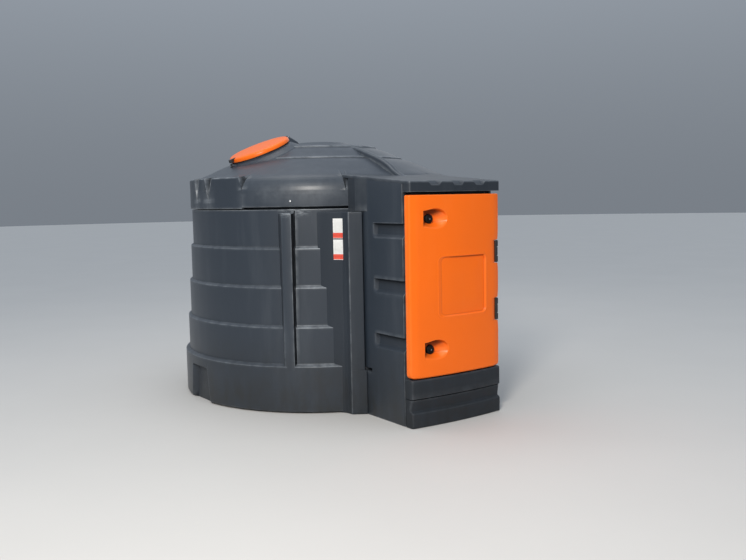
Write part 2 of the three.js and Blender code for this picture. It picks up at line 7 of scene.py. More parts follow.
from math import atan2, ceil, copysign, cos, degrees, dist, exp, hypot, pi, radians, sin, sqrt, tan

import bmesh
import bpy
import numpy as np
from mathutils import Matrix, Vector


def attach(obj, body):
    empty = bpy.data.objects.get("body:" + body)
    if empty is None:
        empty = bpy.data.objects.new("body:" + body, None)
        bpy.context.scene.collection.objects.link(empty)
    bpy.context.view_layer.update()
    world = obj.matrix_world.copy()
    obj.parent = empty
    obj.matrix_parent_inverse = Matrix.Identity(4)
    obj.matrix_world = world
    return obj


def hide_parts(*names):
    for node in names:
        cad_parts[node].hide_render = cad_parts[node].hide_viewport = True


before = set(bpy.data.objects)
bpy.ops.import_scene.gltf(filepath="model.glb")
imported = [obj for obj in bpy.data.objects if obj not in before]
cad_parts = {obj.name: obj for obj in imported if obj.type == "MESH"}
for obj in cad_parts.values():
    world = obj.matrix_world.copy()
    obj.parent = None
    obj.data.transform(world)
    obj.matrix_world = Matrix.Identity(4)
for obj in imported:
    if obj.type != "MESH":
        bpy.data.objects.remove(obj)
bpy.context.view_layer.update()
scene = bpy.context.scene
MM = 0.001
SIDES = {-1: "left", 1: "right"}
# Painted shade value where a joint or gap looks black
DEEP_SHADE = 3.0

# Lower shell, from the CAD model: (radius, top) of each band
BANDS = [(1238, 370), (1205, 665), (1182, 968), (1161, 1266), (1141, 1559)]
LEDGE_HALF = 8
LIP_OUTER = 1078
LIP_TOP = 1592
LIP_INNER = 1071.5
FOOT_INNER = 1183
FOOT_ROLL = 1207
RECESS_BACK = 1192
RECESS_HEIGHT = 285
RECESS_FOOT_HALF = 126
RECESS_HEAD_HALF = 82
RECESS_FLARE = 1.25
RECESS_CORNER = 18

# Upper shell
SKIRT_RADIUS = 1153
BLOCK_ANGLE = 25.2
NOTCH_TOP = 1857

# Cabinet and door
HALF_WIDTH = 422
FRONT_CORNER_Y = -1810
FRONT_BULGE = 26
WALL_FRONT_Y = -1723
WALL_THICKNESS = 40
ROOF_SLOPE = 0.0887
ROOF_FRONT_Z = 1743
ROOF_THICKNESS = 24
SIDE_POCKETS = (532, 938, 1343)
SIDE_POCKET_HEIGHT = 108
SIDE_POCKET_DEPTH = 24
SIDE_POCKET_BACK_Y = -1366
SIDE_HOLE = (-1320, -1240, 338, 361)
SIDE_HOLE_DEPTH = 34
SIDE_OVERLAP = 14
DOOR_HALF = 424
DOOR_BOTTOM = 352
DOOR_TOP = 1649
DOOR_BACK_Y = -1752
DOOR_SIDE_ROUND = 14
DOOR_LOW_ROUND = 16
DOOR_HIGH_ROUND = 8
DOOR_LOW_CORNER = 36
DOOR_HIGH_CORNER = 12
DOOR_MARGIN = 110
DOOR_RECESS = (-184, 267, 780, 1206)
DOOR_RECESS_CORNER = 34
DOOR_RECESS_DEPTH = 15
RECESS_LEFT_DEPTH = 4
HINGE_DENT = 7
DOOR_BEAD = 1.8
HINGE_Y = -1790
HINGE_HEIGHTS = (785, 1219)
HINGE_NOTCH_X = 386
HINGE_NOTCH_HALF = 86
LATCH_X = -235
LATCH_HEIGHTS = (546, 1479)
SCOOP_LEFT = -312
SCOOP_RIGHT = -104
SCOOP_HALF = 74
SCOOP_LEFT_HALF = 60
SCOOP_FLOOR_Y = -1772
# From a scoop's left end: where its floor starts to rise, and where its height is full
SCOOP_FLAT = 100
SCOOP_BOWL = 108


def unit(value):
    return min(1.0, max(0.0, value))


def clamp(value, limit):
    return max(-limit, min(limit, value))


def smooth(value):
    """An S-curve from 0 to 1, flat outside them."""
    value = unit(value)
    return value * value * (3 - 2 * value)


def bell(value, width):
    return exp(-(value / width) ** 2)


def polar(radius, angle):
    return radius * cos(radians(angle)), radius * sin(radians(angle))


def turn_at(x, y):
    """Angle of a place round the tank, from 0 at either side to 90 at the front."""
    return degrees(atan2(-y, abs(x)))


# Materials


class Nodes:
    """Short calls for the nodes of one material or world, which end in its final node."""

    def __init__(self, owner, final):
        owner.use_nodes = True
        self.tree = owner.node_tree
        self.final = self.tree.nodes[final]

    def feed(self, socket, value):
        """Links a socket to another node's output, or sets it to a number, colour or vector."""
        if isinstance(value, bpy.types.NodeSocket):
            self.tree.links.new(value, socket)
        else:
            socket.default_value = (*value, 1) if socket.type == "RGBA" else value

    def node(self, kind, sockets=None, **settings):
        made = self.tree.nodes.new(kind)
        for key, value in settings.items():
            setattr(made, key, value)
        for key, value in (sockets or {}).items():
            self.feed(made.inputs[key], value)
        return made

    def finish(self, **sockets):
        for key, value in sockets.items():
            self.feed(self.final.inputs[key.replace("_", " ")], value)

    def place(self):
        return self.node("ShaderNodeTexCoord").outputs["Object"]

    def height(self, vector):
        return self.node("ShaderNodeSeparateXYZ", {0: vector}).outputs["Z"]

    def noise(self, scale, detail, stretch=None, roughness=0.55):
        source = self.place()
        if stretch:
            source = self.node("ShaderNodeMapping", {"Vector": source, "Scale": stretch}).outputs["Vector"]
        sockets = {"Vector": source, "Scale": scale, "Detail": detail, "Roughness": roughness}
        return self.node("ShaderNodeTexNoise", sockets).outputs["Fac"]

    def ramp(self, source, low, high):
        """0 where the source is low, 1 where it is high."""
        sockets = {"Value": source, "From Min": low, "From Max": high}
        return self.node("ShaderNodeMapRange", sockets).outputs["Result"]

    def math(self, operation, first, second):
        return self.node("ShaderNodeMath", {0: first, 1: second}, operation=operation).outputs[0]

    def times(self, product, *factors):
        for factor in factors:
            product = self.math("MULTIPLY", product, factor)
        return product

    def attribute(self, name):
        return self.node("ShaderNodeAttribute", attribute_name=name).outputs["Fac"]

    def mix(self, factor, first, second):
        return self.node("ShaderNodeMix", {0: factor, 6: first, 7: second}, data_type="RGBA").outputs[2]

    def bump(self, *layers):
        """Each layer is (height socket, strength, distance in metres)."""
        sockets = {}
        for height, strength, distance in layers:
            sockets |= {"Height": height, "Strength": strength, "Distance": distance}
            sockets["Normal"] = self.node("ShaderNodeBump", sockets).outputs["Normal"]
        return sockets["Normal"]


# The scuffed place is in metres, as materials see it
SCUFF_PLACE = (-0.81, -0.87, 1.54)
SCUFF_REACH = 0.15
SCUFF_TOP = 1.566
GROUND_DIRT = (0.015, 0.0155, 0.014)
SHADE_AND_GRIME_SHARE = 0.35


def moulded_plastic(
    name, base, light, dust, roughness, specular=0.5, coat=0.0,
    wear_and_highlight_amount=0.5, dust_amount=0.35, scuff=0.0, ground=0.0,
):
    """Rotationally moulded polyethylene: orange peel, slow waves, lighter worn edges with painted
    highlights, dust on top, and darkening for grime and painted shade.
    """
    material = bpy.data.materials.new(name)
    n = Nodes(material, "Principled BSDF")
    blotch = n.ramp(n.noise(1.6, 3.0), 0.35, 0.7)
    colour = n.mix(n.times(blotch, 0.35), base, tuple(c * 1.1 for c in base))
    streak = n.ramp(n.noise(9.0, 6.0, stretch=(1.0, 1.0, 0.12)), 0.52, 0.78)
    colour = n.mix(n.times(streak, 0.05), colour, light)
    # Lighter worn edges and painted highlights, from the stored lighter attribute
    wear_and_highlight_mask = n.times(n.attribute("wear_and_highlight"), n.ramp(n.noise(14.0, 6.0), 0.25, 0.7))
    colour = n.mix(n.times(wear_and_highlight_mask, wear_and_highlight_amount), colour, light)
    facing_up = n.ramp(n.height(n.node("ShaderNodeNewGeometry").outputs["Normal"]), 0.25, 0.95)
    patches = n.ramp(n.noise(5.0, 8.0, roughness=0.65), 0.3, 0.75)
    dusty = n.times(facing_up, patches, dust_amount)
    colour = n.mix(dusty, colour, dust)
    if ground:
        low = n.ramp(n.height(n.place()), 0.6, 0.05)
        splash = n.ramp(n.noise(11.0, 7.0, stretch=(1.0, 1.0, 0.5), roughness=0.65), 0.25, 0.75)
        colour = n.mix(n.times(low, splash, ground), colour, GROUND_DIRT)
    if scuff:
        away = n.node("ShaderNodeVectorMath", {0: n.place(), 1: SCUFF_PLACE}, operation="DISTANCE")
        near = n.ramp(away.outputs["Value"], SCUFF_REACH, SCUFF_REACH * 0.3)
        level = n.height(n.place())
        for low, high in ((SCUFF_TOP, SCUFF_TOP - 0.004), (SCUFF_TOP - 0.075, SCUFF_TOP - 0.03)):
            near = n.times(near, n.ramp(level, low, high))
        scratches = n.ramp(n.noise(24.0, 8.0, stretch=(1.0, 1.0, 6.0), roughness=0.7), 0.46, 0.62)
        colour = n.mix(n.times(near, scratches, scuff), colour, light)
    # Painted shade and grime: the colour goes darker where the stored darkening attribute is high
    shade_and_grime_mix = n.times(n.attribute("shade_and_grime"), SHADE_AND_GRIME_SHARE)
    colour = n.mix(shade_and_grime_mix, colour, tuple(c * 0.25 for c in base))
    rough = n.math("ADD", n.times(patches, 0.1), roughness)
    for layer, share in ((dusty, 0.5), (shade_and_grime_mix, 0.4)):
        rough = n.math("ADD", rough, n.times(layer, share))
    if coat:
        undarkened = n.ramp(n.math("SUBTRACT", 1.0, shade_and_grime_mix), 0.0, 1.0)
        n.finish(Coat_Weight=n.times(undarkened, coat))
    peel = n.bump((n.noise(2.2, 1.0), 0.35, 0.02), (n.noise(160.0, 2.0), 0.16, 0.0012))
    n.finish(
        Base_Color=colour, Roughness=rough, IOR=1.5, Specular_IOR_Level=specular,
        Coat_Roughness=0.33, Normal=peel,
    )
    return material


def plain_finish(name, base, roughness, metallic=0.0, specular=0.5):
    """Small parts: one colour that varies a little, with a fine grain and worn edges."""
    material = bpy.data.materials.new(name)
    n = Nodes(material, "Principled BSDF")
    blotch = n.ramp(n.noise(30.0, 4.0), 0.35, 0.7)
    colour = n.mix(n.times(blotch, 0.5), base, tuple(c * 1.35 for c in base))
    light = tuple(min(1.0, c * 2.2 + min(0.03, c * 3)) for c in base)
    colour = n.mix(n.times(n.attribute("wear_and_highlight"), 0.35), colour, light)
    rough = n.math("ADD", n.times(blotch, 0.12), roughness)
    grain = n.bump((n.noise(300.0, 2.0), 0.2, 0.0005))
    n.finish(
        Base_Color=colour, Roughness=rough, Metallic=metallic, Specular_IOR_Level=specular, Normal=grain,
    )
    return material


MATERIALS = {
    "shell": moulded_plastic(
        "graphite_plastic", (0.0205, 0.0295, 0.043), (0.33, 0.36, 0.39), (0.12, 0.127, 0.13), 0.5,
        specular=0.36, coat=0.5, wear_and_highlight_amount=0.65, dust_amount=0.05, scuff=0.9, ground=1.0,
    ),
    "orange": moulded_plastic(
        "orange_plastic", (0.95, 0.155, 0.004), (0.95, 0.36, 0.12), (0.8, 0.3, 0.1), 0.29,
        specular=0.3, wear_and_highlight_amount=0.22, dust_amount=0.15,
    ),
    "lock": plain_finish("lock_case", (0.002, 0.002, 0.0022), 0.5, specular=0.2),
    "black": plain_finish("black_fitting", (0.012, 0.012, 0.014), 0.42),
    "steel": plain_finish("plated_steel", (0.5, 0.5, 0.52), 0.3, metallic=0.9),
    "inner": moulded_plastic(
        "inner_tank_plastic", (0.03, 0.035, 0.042), (0.1, 0.11, 0.12), (0.08, 0.08, 0.08), 0.6,
    ),
    "plate": plain_finish("white_plate", (0.64, 0.64, 0.62), 0.38),
    "band": plain_finish("red_band", (0.62, 0.06, 0.035), 0.35),
}

# (attribute, gain, offset): how strongly a bend of the surface shows as lighter edge wear and as darkening
# in hollows
EDGE_RULES = (("wear_and_highlight", 0.011, -0.1), ("shade_and_grime", -0.02, -0.05))


def add_edge_and_hollow_tones(mesh):
    """Stores how convex and how hollow each point is, for lighter worn edges and darker hollows."""
    count = len(mesh.vertices)
    points = np.zeros(count * 3)
    mesh.vertices.foreach_get("co", points)
    points = points.reshape(-1, 3)
    normals = np.array([v.vector for v in mesh.vertex_normals]).reshape(-1, 3)
    edges = np.zeros(len(mesh.edges) * 2, dtype=np.int64)
    mesh.edges.foreach_get("vertices", edges)
    a, b = edges.reshape(-1, 2).T
    along = points[a] - points[b]
    squared = np.maximum((along ** 2).sum(1), 1e-8)
    bend = ((normals[a] - normals[b]) * along).sum(1) / squared
    total = np.bincount(a, bend, count) + np.bincount(b, bend, count)
    used = np.maximum(np.bincount(a, minlength=count) + np.bincount(b, minlength=count), 1)
    curvature = total / used
    for name, gain, offset in EDGE_RULES:
        attribute = mesh.attributes.new(name, "FLOAT", "POINT")
        values = np.clip(curvature * gain + offset, 0, 1)
        attribute.data.foreach_set("value", values.astype(np.float32))


def paint(obj, attribute, rule):
    """Raises the named painted attribute at each point to what the rule gives for its place in millimetres;
    one carries wear and painted highlights, the other grime and painted shade.
    """
    for vertex, item in zip(obj.data.vertices, obj.data.attributes[attribute].data):
        x, y, z = (c / MM for c in vertex.co)
        item.value = max(item.value, rule(x, y, z))


def dress(mesh, material, sharp_angle):
    """One material, smooth shading with sharp edges, and the stored lighter edges and darker hollows."""
    mesh.materials.clear()
    mesh.materials.append(MATERIALS[material])
    mesh.shade_smooth()
    mesh.set_sharp_from_angle(angle=radians(sharp_angle))
    add_edge_and_hollow_tones(mesh)


def finish_piece(obj, *nodes, slot="shell", body="tank", sharp_angle=38, material=None):
    """Gives a piece its material, named by slot unless material is given, puts it in its body, and hides
    the CAD nodes that it stands for.
    """
    dress(obj.data, material or slot, sharp_angle)
    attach(obj, body)
    if nodes:
        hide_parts(*nodes)
    return obj


# Mesh helpers


def placed(point, angle, axis):
    """A turn about one of the axes, then a move to a point."""
    return Matrix.Translation(Vector(point) * MM) @ Matrix.Rotation(radians(angle), 4, axis)


def link_object(name, mesh):
    obj = bpy.data.objects.new(name, mesh)
    scene.collection.objects.link(obj)
    return obj


def object_from(name, points, faces, matrix=None):
    """A mesh object from points in millimetres."""
    mesh = bpy.data.meshes.new(name)
    mesh.from_pydata([(x * MM, y * MM, z * MM) for x, y, z in points], [], faces)
    if matrix is not None:
        mesh.transform(matrix)
    built = bmesh.new()
    built.from_mesh(mesh)
    bmesh.ops.remove_doubles(built, verts=built.verts, dist=2e-5)
    bmesh.ops.recalc_face_normals(built, faces=built.faces)
    built.to_mesh(mesh)
    built.free()
    return link_object(name, mesh)


def rounded(corners, closed=True, steps=5):
    """Rounds each (u, v, radius) corner of an outline with an arc."""
    points = []
    count = len(corners)
    for i, (u, v, radius) in enumerate(corners):
        if not closed and i in (0, count - 1) or radius <= 0:
            points.append((u, v))
            continue
        here = Vector((u, v))
        before = Vector(corners[i - 1][:2]) - here
        after = Vector(corners[(i + 1) % count][:2]) - here
        reach = min(before.length, after.length) * 0.48
        trim = min(radius / tan(before.angle(after) / 2), reach)
        start = here + before.normalized() * trim
        end = here + after.normalized() * trim
        for k in range(steps + 1):
            t = k / steps
            point = start.lerp(here, t).lerp(here.lerp(end, t), t)
            points.append((point.x, point.y))
    return points


def skin(name, rings, matrix=None, joined=False, capped=False):
    """Faces from each ring of points to the next; a ring of one point is a tip.

    Joined rings also go from the last to the first, and capped ones get a face at both ends.
    """
    count = max(len(ring) for ring in rings)
    points = []
    numbers = []
    for ring in rings:
        first = len(points)
        numbers.append([first] * count if len(ring) == 1 else list(range(first, first + count)))
        points += ring
    faces = [numbers[0], numbers[-1]] if capped else []
    if joined:
        numbers.insert(0, numbers[-1])
    for low, high in zip(numbers, numbers[1:]):
        if low[0] == low[1] and high[0] == high[1]:
            continue
        for k in range(count):
            m = (k + 1) % count
            faces.append(list(dict.fromkeys((low[k], low[m], high[m], high[k]))))
    return object_from(name, points, faces, matrix)


def lathe(name, profile, steps, matrix=None):
    """Turns a closed profile of (radius, height) round the Z axis."""
    turns = [2 * pi * k / steps for k in range(steps)]
    rings = []
    for radius, height in profile:
        on_axis = radius < 1e-6
        rings.append([(radius * cos(t), radius * sin(t), height) for t in ([0] if on_axis else turns)])
    return skin(name, rings, matrix, joined=True)


def slab(name, rows):
    """Closes rows of (front point, back point) pairs into one solid."""
    high, wide = len(rows), len(rows[0])
    points = [pair[layer] for layer in (0, 1) for row in rows for pair in row]
    offset = high * wide
    faces = []
    for i in range(high - 1):
        for j in range(wide - 1):
            a = i * wide + j
            quad = (a, a + 1, a + wide + 1, a + wide)
            faces.append(quad)
            faces.append(tuple(offset + k for k in reversed(quad)))
    border = [(0, j) for j in range(wide)] + [(i, wide - 1) for i in range(1, high)]
    border += [(high - 1, j) for j in range(wide - 2, -1, -1)] + [(i, 0) for i in range(high - 2, 0, -1)]
    index = [i * wide + j for i, j in border]
    for a, b in zip(index, index[1:] + index[:1]):
        faces.append((a, b, offset + b, offset + a))
    return object_from(name, points, faces)


def inward_normals(outline):
    """Unit steps that shrink an outline evenly, one for each of its points."""
    count = len(outline)
    turning = sum(a[0] * b[1] - b[0] * a[1] for a, b in zip(outline, outline[1:] + outline[:1]))
    normals = []
    for k in range(count):
        here = Vector(outline[k])
        along = (Vector(outline[(k + 1) % count]) - here).normalized()
        before = (here - Vector(outline[k - 1])).normalized()
        tangent = (along + before).normalized()
        normal = Vector((-tangent.y, tangent.x)) * (1 if turning > 0 else -1)
        normals.append(normal / max(0.5, abs(tangent.dot(along))))
    return normals


def plan_rings(outline, levels):
    """Copies of an outline at levels, each a height or a (height, inset) pair."""
    steps = inward_normals(outline)
    rings = []
    for level in levels:
        height, inset = level if isinstance(level, tuple) else (level, 0)
        rings.append([(p[0] + n.x * inset, p[1] + n.y * inset, height) for p, n in zip(outline, steps)])
    return rings


def soft_rim(level, radius, way):
    """(height, inset) pairs that round a rim; way is 1 for the foot and -1 for the top."""
    angles = [pi / 2 * share for share in (0, 0.25, 0.5, 0.75, 1)][::way]
    return [(level + way * radius * (1 - cos(a)), radius * (1 - sin(a))) for a in angles]


def front_round(distance, radius):
    """How far an edge's arc falls back at a distance from the edge."""
    if distance >= radius:
        return 0.0
    return radius - sqrt(max(0.0, radius * radius - (radius - distance) ** 2))


def mirrored(plan, side):
    return [(x * -side, y, r) for x, y, r in plan]


def edge_columns(half, inner, edge):
    """(x, drop) of each column from one rounded side edge to the other."""
    left = [(-half + inset, drop) for inset, drop in edge]
    right = [(half - inset, drop) for inset, drop in reversed(edge)]
    return left + [(x, 0) for x in inner] + right


def cut(obj, cutter):
    """Takes cutter out of obj and removes it."""
    modifier = obj.modifiers.new("cut", "BOOLEAN")
    modifier.object = cutter
    modifier.operation = "DIFFERENCE"
    modifier.solver = "EXACT"
    bpy.context.view_layer.update()
    shaped = obj.evaluated_get(bpy.context.evaluated_depsgraph_get())
    mesh = bpy.data.meshes.new_from_object(shaped)
    obj.modifiers.clear()
    obj.data = mesh
    bpy.data.objects.remove(cutter)


def softened(node, width, shortest, slot="shell", body="tank"):
    """A copy of a CAD node with its edges rounded, apart from short ones, standing for that node."""
    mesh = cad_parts[node].data.copy()
    built = bmesh.new()
    built.from_mesh(mesh)
    bmesh.ops.remove_doubles(built, verts=built.verts, dist=1e-5)
    bmesh.ops.dissolve_limit(built, angle_limit=radians(1.5), verts=built.verts, edges=built.edges)
    chosen = [
        e for e in built.edges if e.calc_face_angle(0) > radians(25) and e.calc_length() > shortest * MM
    ]
    bmesh.ops.bevel(
        built, geom=chosen, offset=width * MM, segments=3, profile=0.5, affect="EDGES", clamp_overlap=True
    )
    built.to_mesh(mesh)
    built.free()
    return finish_piece(link_object(node + "_skin", mesh), node, slot=slot, body=body)


# Lower shell


def build_lower_shell():
    foot = BANDS[0][0]
    corners = [(foot - 30, 0, 4), (foot - 14, 5, 6), (foot, 15, 12), (foot, 44, 0)]
    for (below, top), (above, _) in zip(BANDS, BANDS[1:]):
        for level, soft in ((-24, 0), (-LEDGE_HALF, 7), (LEDGE_HALF, 7), (24, 0)):
            corners.append((below if level < 0 else above, top + level, soft))
    radius, top = BANDS[-1]
    corners += [
        (radius, top - 18, 0), (radius, top, 7), (LIP_OUTER, top + 2, 2), (LIP_OUTER, LIP_TOP, 2),
        (LIP_INNER, LIP_TOP, 2), (LIP_INNER, 400, 20), (FOOT_INNER, 330, 20), (FOOT_INNER, 0, 4),
    ]
    shell = lathe("lower_shell", rounded(corners), 288)
    for side in SIDES:
        cut(shell, recess_cutter(side))
        cut(shell, rib_slot_cutter(side))
    finish_piece(shell, "left_wall", "right_wall", "front_wall", "rear_wall")
    paint(shell, "wear_and_highlight", ledge_wear_and_highlights)
    paint(shell, "shade_and_grime", recess_shade)
    paint(shell, "shade_and_grime", ground_contact_shadow)


def ground_contact_shadow(x, y, z):
    """Painted contact shadow: black where the foot meets the ground."""
    return DEEP_SHADE * bell(z, 10) if hypot(x, y) > FOOT_ROLL else 0.0


def recess_shade(x, y, z):
    """Deep shade on the flared ends of each foot recess, a little on its back."""
    if z > RECESS_HEIGHT + 4 or not FOOT_INNER + 4 < hypot(x, y) < BANDS[0][0] - 2:
        return 0.0
    beyond_back = abs(y) - recess_half(z)
    if abs(x) < RECESS_BACK + 3:
        return 0.8 if beyond_back < 4 else 0.0
    return 3.2 if -20 < beyond_back < 52 else 0.0


def ledge_wear_and_highlights(x, y, z):
    """Light lines along both edges of each ledge, wear with painted highlight, strongest between rib and
    front panel where the painted highlight is brightest.
    """
    radius, rim = BANDS[-1]
    if hypot(x, y) < radius - 2:
        return 0.0
    strength = 0.5 + 1.4 * smooth((turn_at(x, y) - 44) / 4)
    lines = [bell(z - top + LEDGE_HALF, 2.5) + bell(z - top - LEDGE_HALF, 2.5) for _, top in BANDS[:-1]]
    return max(strength * max(lines), 1.3 * bell(z - rim + 2, 3))


def recess_half(level):
    """Half-width of a foot recess's back at one height."""
    share = (level + 20) / (RECESS_HEIGHT + 20)
    return RECESS_FOOT_HALF + (RECESS_HEAD_HALF - RECESS_FOOT_HALF) * share


def recess_cutter(side):
    """Foot recess: a flat back with flared ends, its mouth rounded where it meets the round shell."""
    mouth = BANDS[0][0]
    depth = mouth - RECESS_BACK
    run = depth * RECESS_FLARE
    beyond = 30
    profile = [(run + beyond, 0, 0), (run, 0, 18), (0, depth, 14), (-beyond, depth, 0)]
    profile = rounded(profile, closed=False)[1:]
    profile.insert(0, (profile[0][0], -beyond))
    rings = []
    for spread, inward in profile:
        top = RECESS_HEIGHT + front_round(max(0.0, inward), 4)
        outline = [(-recess_half(level) - spread, level) for level in (-40, 60, 160)]
        edge = recess_half(top - RECESS_CORNER) + spread - RECESS_CORNER
        for k in range(7):
            angle = pi - pi / 2 * k / 6
            outline.append((RECESS_CORNER * cos(angle) - edge, top + RECESS_CORNER * (sin(angle) - 1)))
        outline += [(-y, z) for y, z in reversed(outline)]
        ring = []
        for y, z in outline:
            surface = sqrt(mouth ** 2 - y * y)
            ring.append((side * (surface - inward * (surface - RECESS_BACK) / depth), y, z))
        rings.append(ring)
    return skin("recess_cutter", rings, capped=True)


def round_plan(corners, side):
    """(x, y, rounding) corners of an outline given as (turn, radius, rounding)."""
    plan = []
    for turn, radius, soft in corners:
        x, y = polar(radius, -turn)
        plan.append((side * x, y, soft))
    return plan


def rib_slot_cutter(side):
    """The dark slot beside each rib, from the base band up to the top ledge."""
    plan = round_plan([(46.95, 1094, 0), (46.95, 1260, 0), (47.35, 1260, 0), (47.35, 1094, 0)], side)
    return skin("rib_slot_cutter", plan_rings(rounded(plan), (376, 1549)), capped=True)


# Upper shell: (radius, height) rows, with a rounded form and a square-shouldered form over the sides

ROUND_ROWS = [
    (1131, 1577), (1149, 1577), (1152, 1580), (1153, 1587), (1151.8, 1672), (1149.5, 1704), (1143.5, 1731),
    (1133.5, 1757), (1120, 1780), (1102, 1800), (1081, 1815), (1056, 1828),
]
SQUARE_ROWS = [
    (1131, 1567), (1149, 1567), (1152, 1570), (1153, 1577), (1151.8, 1676), (1151.2, 1728), (1151, 1765),
    (1151, 1795), (1149, 1809), (1140, 1816), (1100, 1818), (1056, 1828),
]
DOME_ROWS = [
    (1000, 1850), (950, 1873), (899, 1897), (840, 1922), (782, 1946), (752, 1953), (730, 1957),
    (716, 1960), (712.5, 1962), (711.5, 1965), (711, 1969), (709, 1972), (703, 1974.5), (680, 1983),
    (603, 2020), (560, 2037), (520, 2051), (504, 2055), (493, 2060), (489, 2062.5), (487.5, 2066),
    (486.5, 2070), (483, 2073.5), (470, 2079), (455, 2083), (414, 2088), (350, 2092), (290, 2096),
    (268, 2101), (250, 2109), (230, 2117), (200, 2122), (120, 2127), (0, 2130),
]
DOME_STEPS = (708, 485)
SKIRT_STEP = 12
INSIDE_ROWS = [
    (0, 2105), (200, 2090), (380, 2062), (490, 2034), (608, 1988), (700, 1942), (872, 1884),
    (1000, 1824), (1060, 1780), (1088, 1720), (1088, 1592),
]
# Places of the columns across a notch, whose edges are at -1 and 1
CLUSTER = (-1.14, -1.05, -1.0, -0.96, -0.9, -0.5, 0.0, 0.5, 0.9, 0.96, 1.0, 1.05, 1.14)
NOTCH_LIP = 2.5
NOTCH_POINT = 1.5
# (angle, half-width at the top, height of the foot, depth) of each notch
NOTCHES = [(turn, 68, 1634, 54) for turn in (5.4, -5.4, 174.6, 185.4)]
NOTCHES += [(turn, 38, 1724, 54) for turn in (25.2, -25.2, 154.8, 205.2)]
NOTCHES += [(turn, 26, 1706, 40) for turn in (246.9, 293.1)]


def apart(angle, other):
    """How far one angle lies ahead of another, from -180 to 180."""
    return (angle - other + 180) % 360 - 180


def from_side(angle):
    """How far an angle lies from the nearer of the two sides, 0 to 90."""
    return abs((angle + 90) % 180 - 90)


def notch_spread(notch, height):
    """Half-width of a notch at one height: a point at its foot, full width at its top."""
    _, half_width, bottom, _ = notch
    return max(half_width * unit((height - bottom) / (NOTCH_TOP - bottom)), NOTCH_POINT)


def cluster_reach(notch):
    """Degrees on either side of a notch that hold its own columns only."""
    return degrees(CLUSTER[-1] * notch[1] / SKIRT_RADIUS) + 0.3


def skirt_columns():
    """(angle, notch, place across the notch) of each column round the upper shell."""
    columns = []
    for angle in np.arange(0, 360, 1.5):
        if all(abs(apart(angle, notch[0])) > cluster_reach(notch) for notch in NOTCHES):
            columns.append((angle, None, 0))
    for notch in NOTCHES:
        columns += [(notch[0] % 360, notch, place) for place in CLUSTER]
    return sorted(columns, key=lambda column: (column[0], column[2]))


def is_square(angle, notch, place):
    """True where a column stands on one of the two square shoulders."""
    if notch is None or abs(from_side(angle) - BLOCK_ANGLE) > 0.3:
        return from_side(angle) < BLOCK_ANGLE
    return place < 0 if int(angle // 90) in (0, 2) else place > 0


def skirt_point(column, round_row, square_row, notched):
    angle, notch, place = column
    radius, height = square_row if is_square(*column) else round_row
    if notch:
        spread = notch_spread(notch, height)
        angle += degrees(place * spread / SKIRT_RADIUS)
    if notch and notched:
        shallow = smooth((height - notch[2] + 6) / 40)
        across = np.interp(abs(place), (0, 0.9, 0.96, 1.0), (1.0, 1.0, 0.8, 0.0))
        lip = NOTCH_LIP * shallow * smooth((NOTCH_TOP - height) / 25)
        lip *= np.interp(abs(place), (0.96, 1.0, 1.05, 1.14), (0.0, 0.6, 1.0, 0.0))
        radius = min(radius, SKIRT_RADIUS - notch[3] * across * shallow) + lip
    return *polar(radius, angle), height


def skirt_rows():
    """Matching (round row, square row) pairs, with more between them until no step is over SKIRT_STEP."""
    pairs = np.array([ROUND_ROWS, SQUARE_ROWS]).swapaxes(0, 1)
    rows = [pairs[0]]
    for before, after in zip(pairs, pairs[1:]):
        count = max(1, ceil(max(dist(p, q) for p, q in zip(before, after)) / SKIRT_STEP))
        rows += [before + (after - before) * (k / count) for k in range(1, count + 1)]
    return rows


def build_upper_shell():
    columns = skirt_columns()
    outside = skirt_rows() + [(r, r) for r in DOME_ROWS]
    rows = [(r, r, False) for r in INSIDE_ROWS] + [(a, b, True) for a, b in outside]
    rings = []
    for row in rows:
        radius, height = row[0]
        rings.append([skirt_point(column, *row) for column in columns] if radius else [(0, 0, height)])
    shell = skin("upper_shell", rings)
    bore = [(0, -400), (NECK_RADIUS - 3, -400), (NECK_RADIUS - 3, 300), (0, 300)]
    cut(shell, lathe("bore", bore, 96, MANHOLE))
    sides = [f"upper_shell_{side}" for side in ("left", "right", "front", "rear")]
    finish_piece(shell, "dome", *sides, sharp_angle=48)
    paint(shell, "wear_and_highlight", upper_shell_wear_and_highlights)
    paint(shell, "shade_and_grime", notch_shade)


def across_notches(x, y, z):
    """(height of the foot, half-width here, place across) of each notch, as seen from one point."""
    angle = degrees(atan2(y, x)) % 360
    for notch in NOTCHES:
        spread = notch_spread(notch, z)
        yield notch[2], spread, radians(apart(angle, notch[0])) * SKIRT_RADIUS / spread


def upper_shell_wear_and_highlights(x, y, z):
    """Light edges of notches and square shoulders, as wear and painted highlight; painted highlights along
    the dome's steps; and a paler skirt between the shoulders, a painted glow under the shoulder's
    highlight.
    """
    radius = hypot(x, y)
    if radius < 1095:
        on_top = z > dome_height(radius) - 8
        return max(bell(radius - step, 5) for step in DOME_STEPS) if on_top else 0.0
    if z < 1580:
        return 0.0
    beyond = from_side(degrees(atan2(y, x)) % 360) - BLOCK_ANGLE
    value = 1.1 * bell(z - 1810, 5) if beyond < 0 else 0.22 * bell(z - 1690, 80) * smooth(beyond / 12)
    for bottom, spread, place in across_notches(x, y, z):
        if z > bottom - 6 and abs(place) < 1.1:
            value = max(value, 1.3 * bell((abs(place) - 1.04) * spread, 2.6) * smooth(spread / 16))
    return value


def notch_shade(x, y, z):
    """Painted shade inside each notch."""
    if not 1088 < hypot(x, y) < SKIRT_RADIUS - 4:
        return 0.0
    inside = any(abs(place) < 0.97 and z > bottom - 2 for bottom, _, place in across_notches(x, y, z))
    return 1.8 if inside else 0.0


def dome_height(radius):
    known = sorted(ROUND_ROWS[3:] + DOME_ROWS)
    return np.interp(radius, *zip(*known))


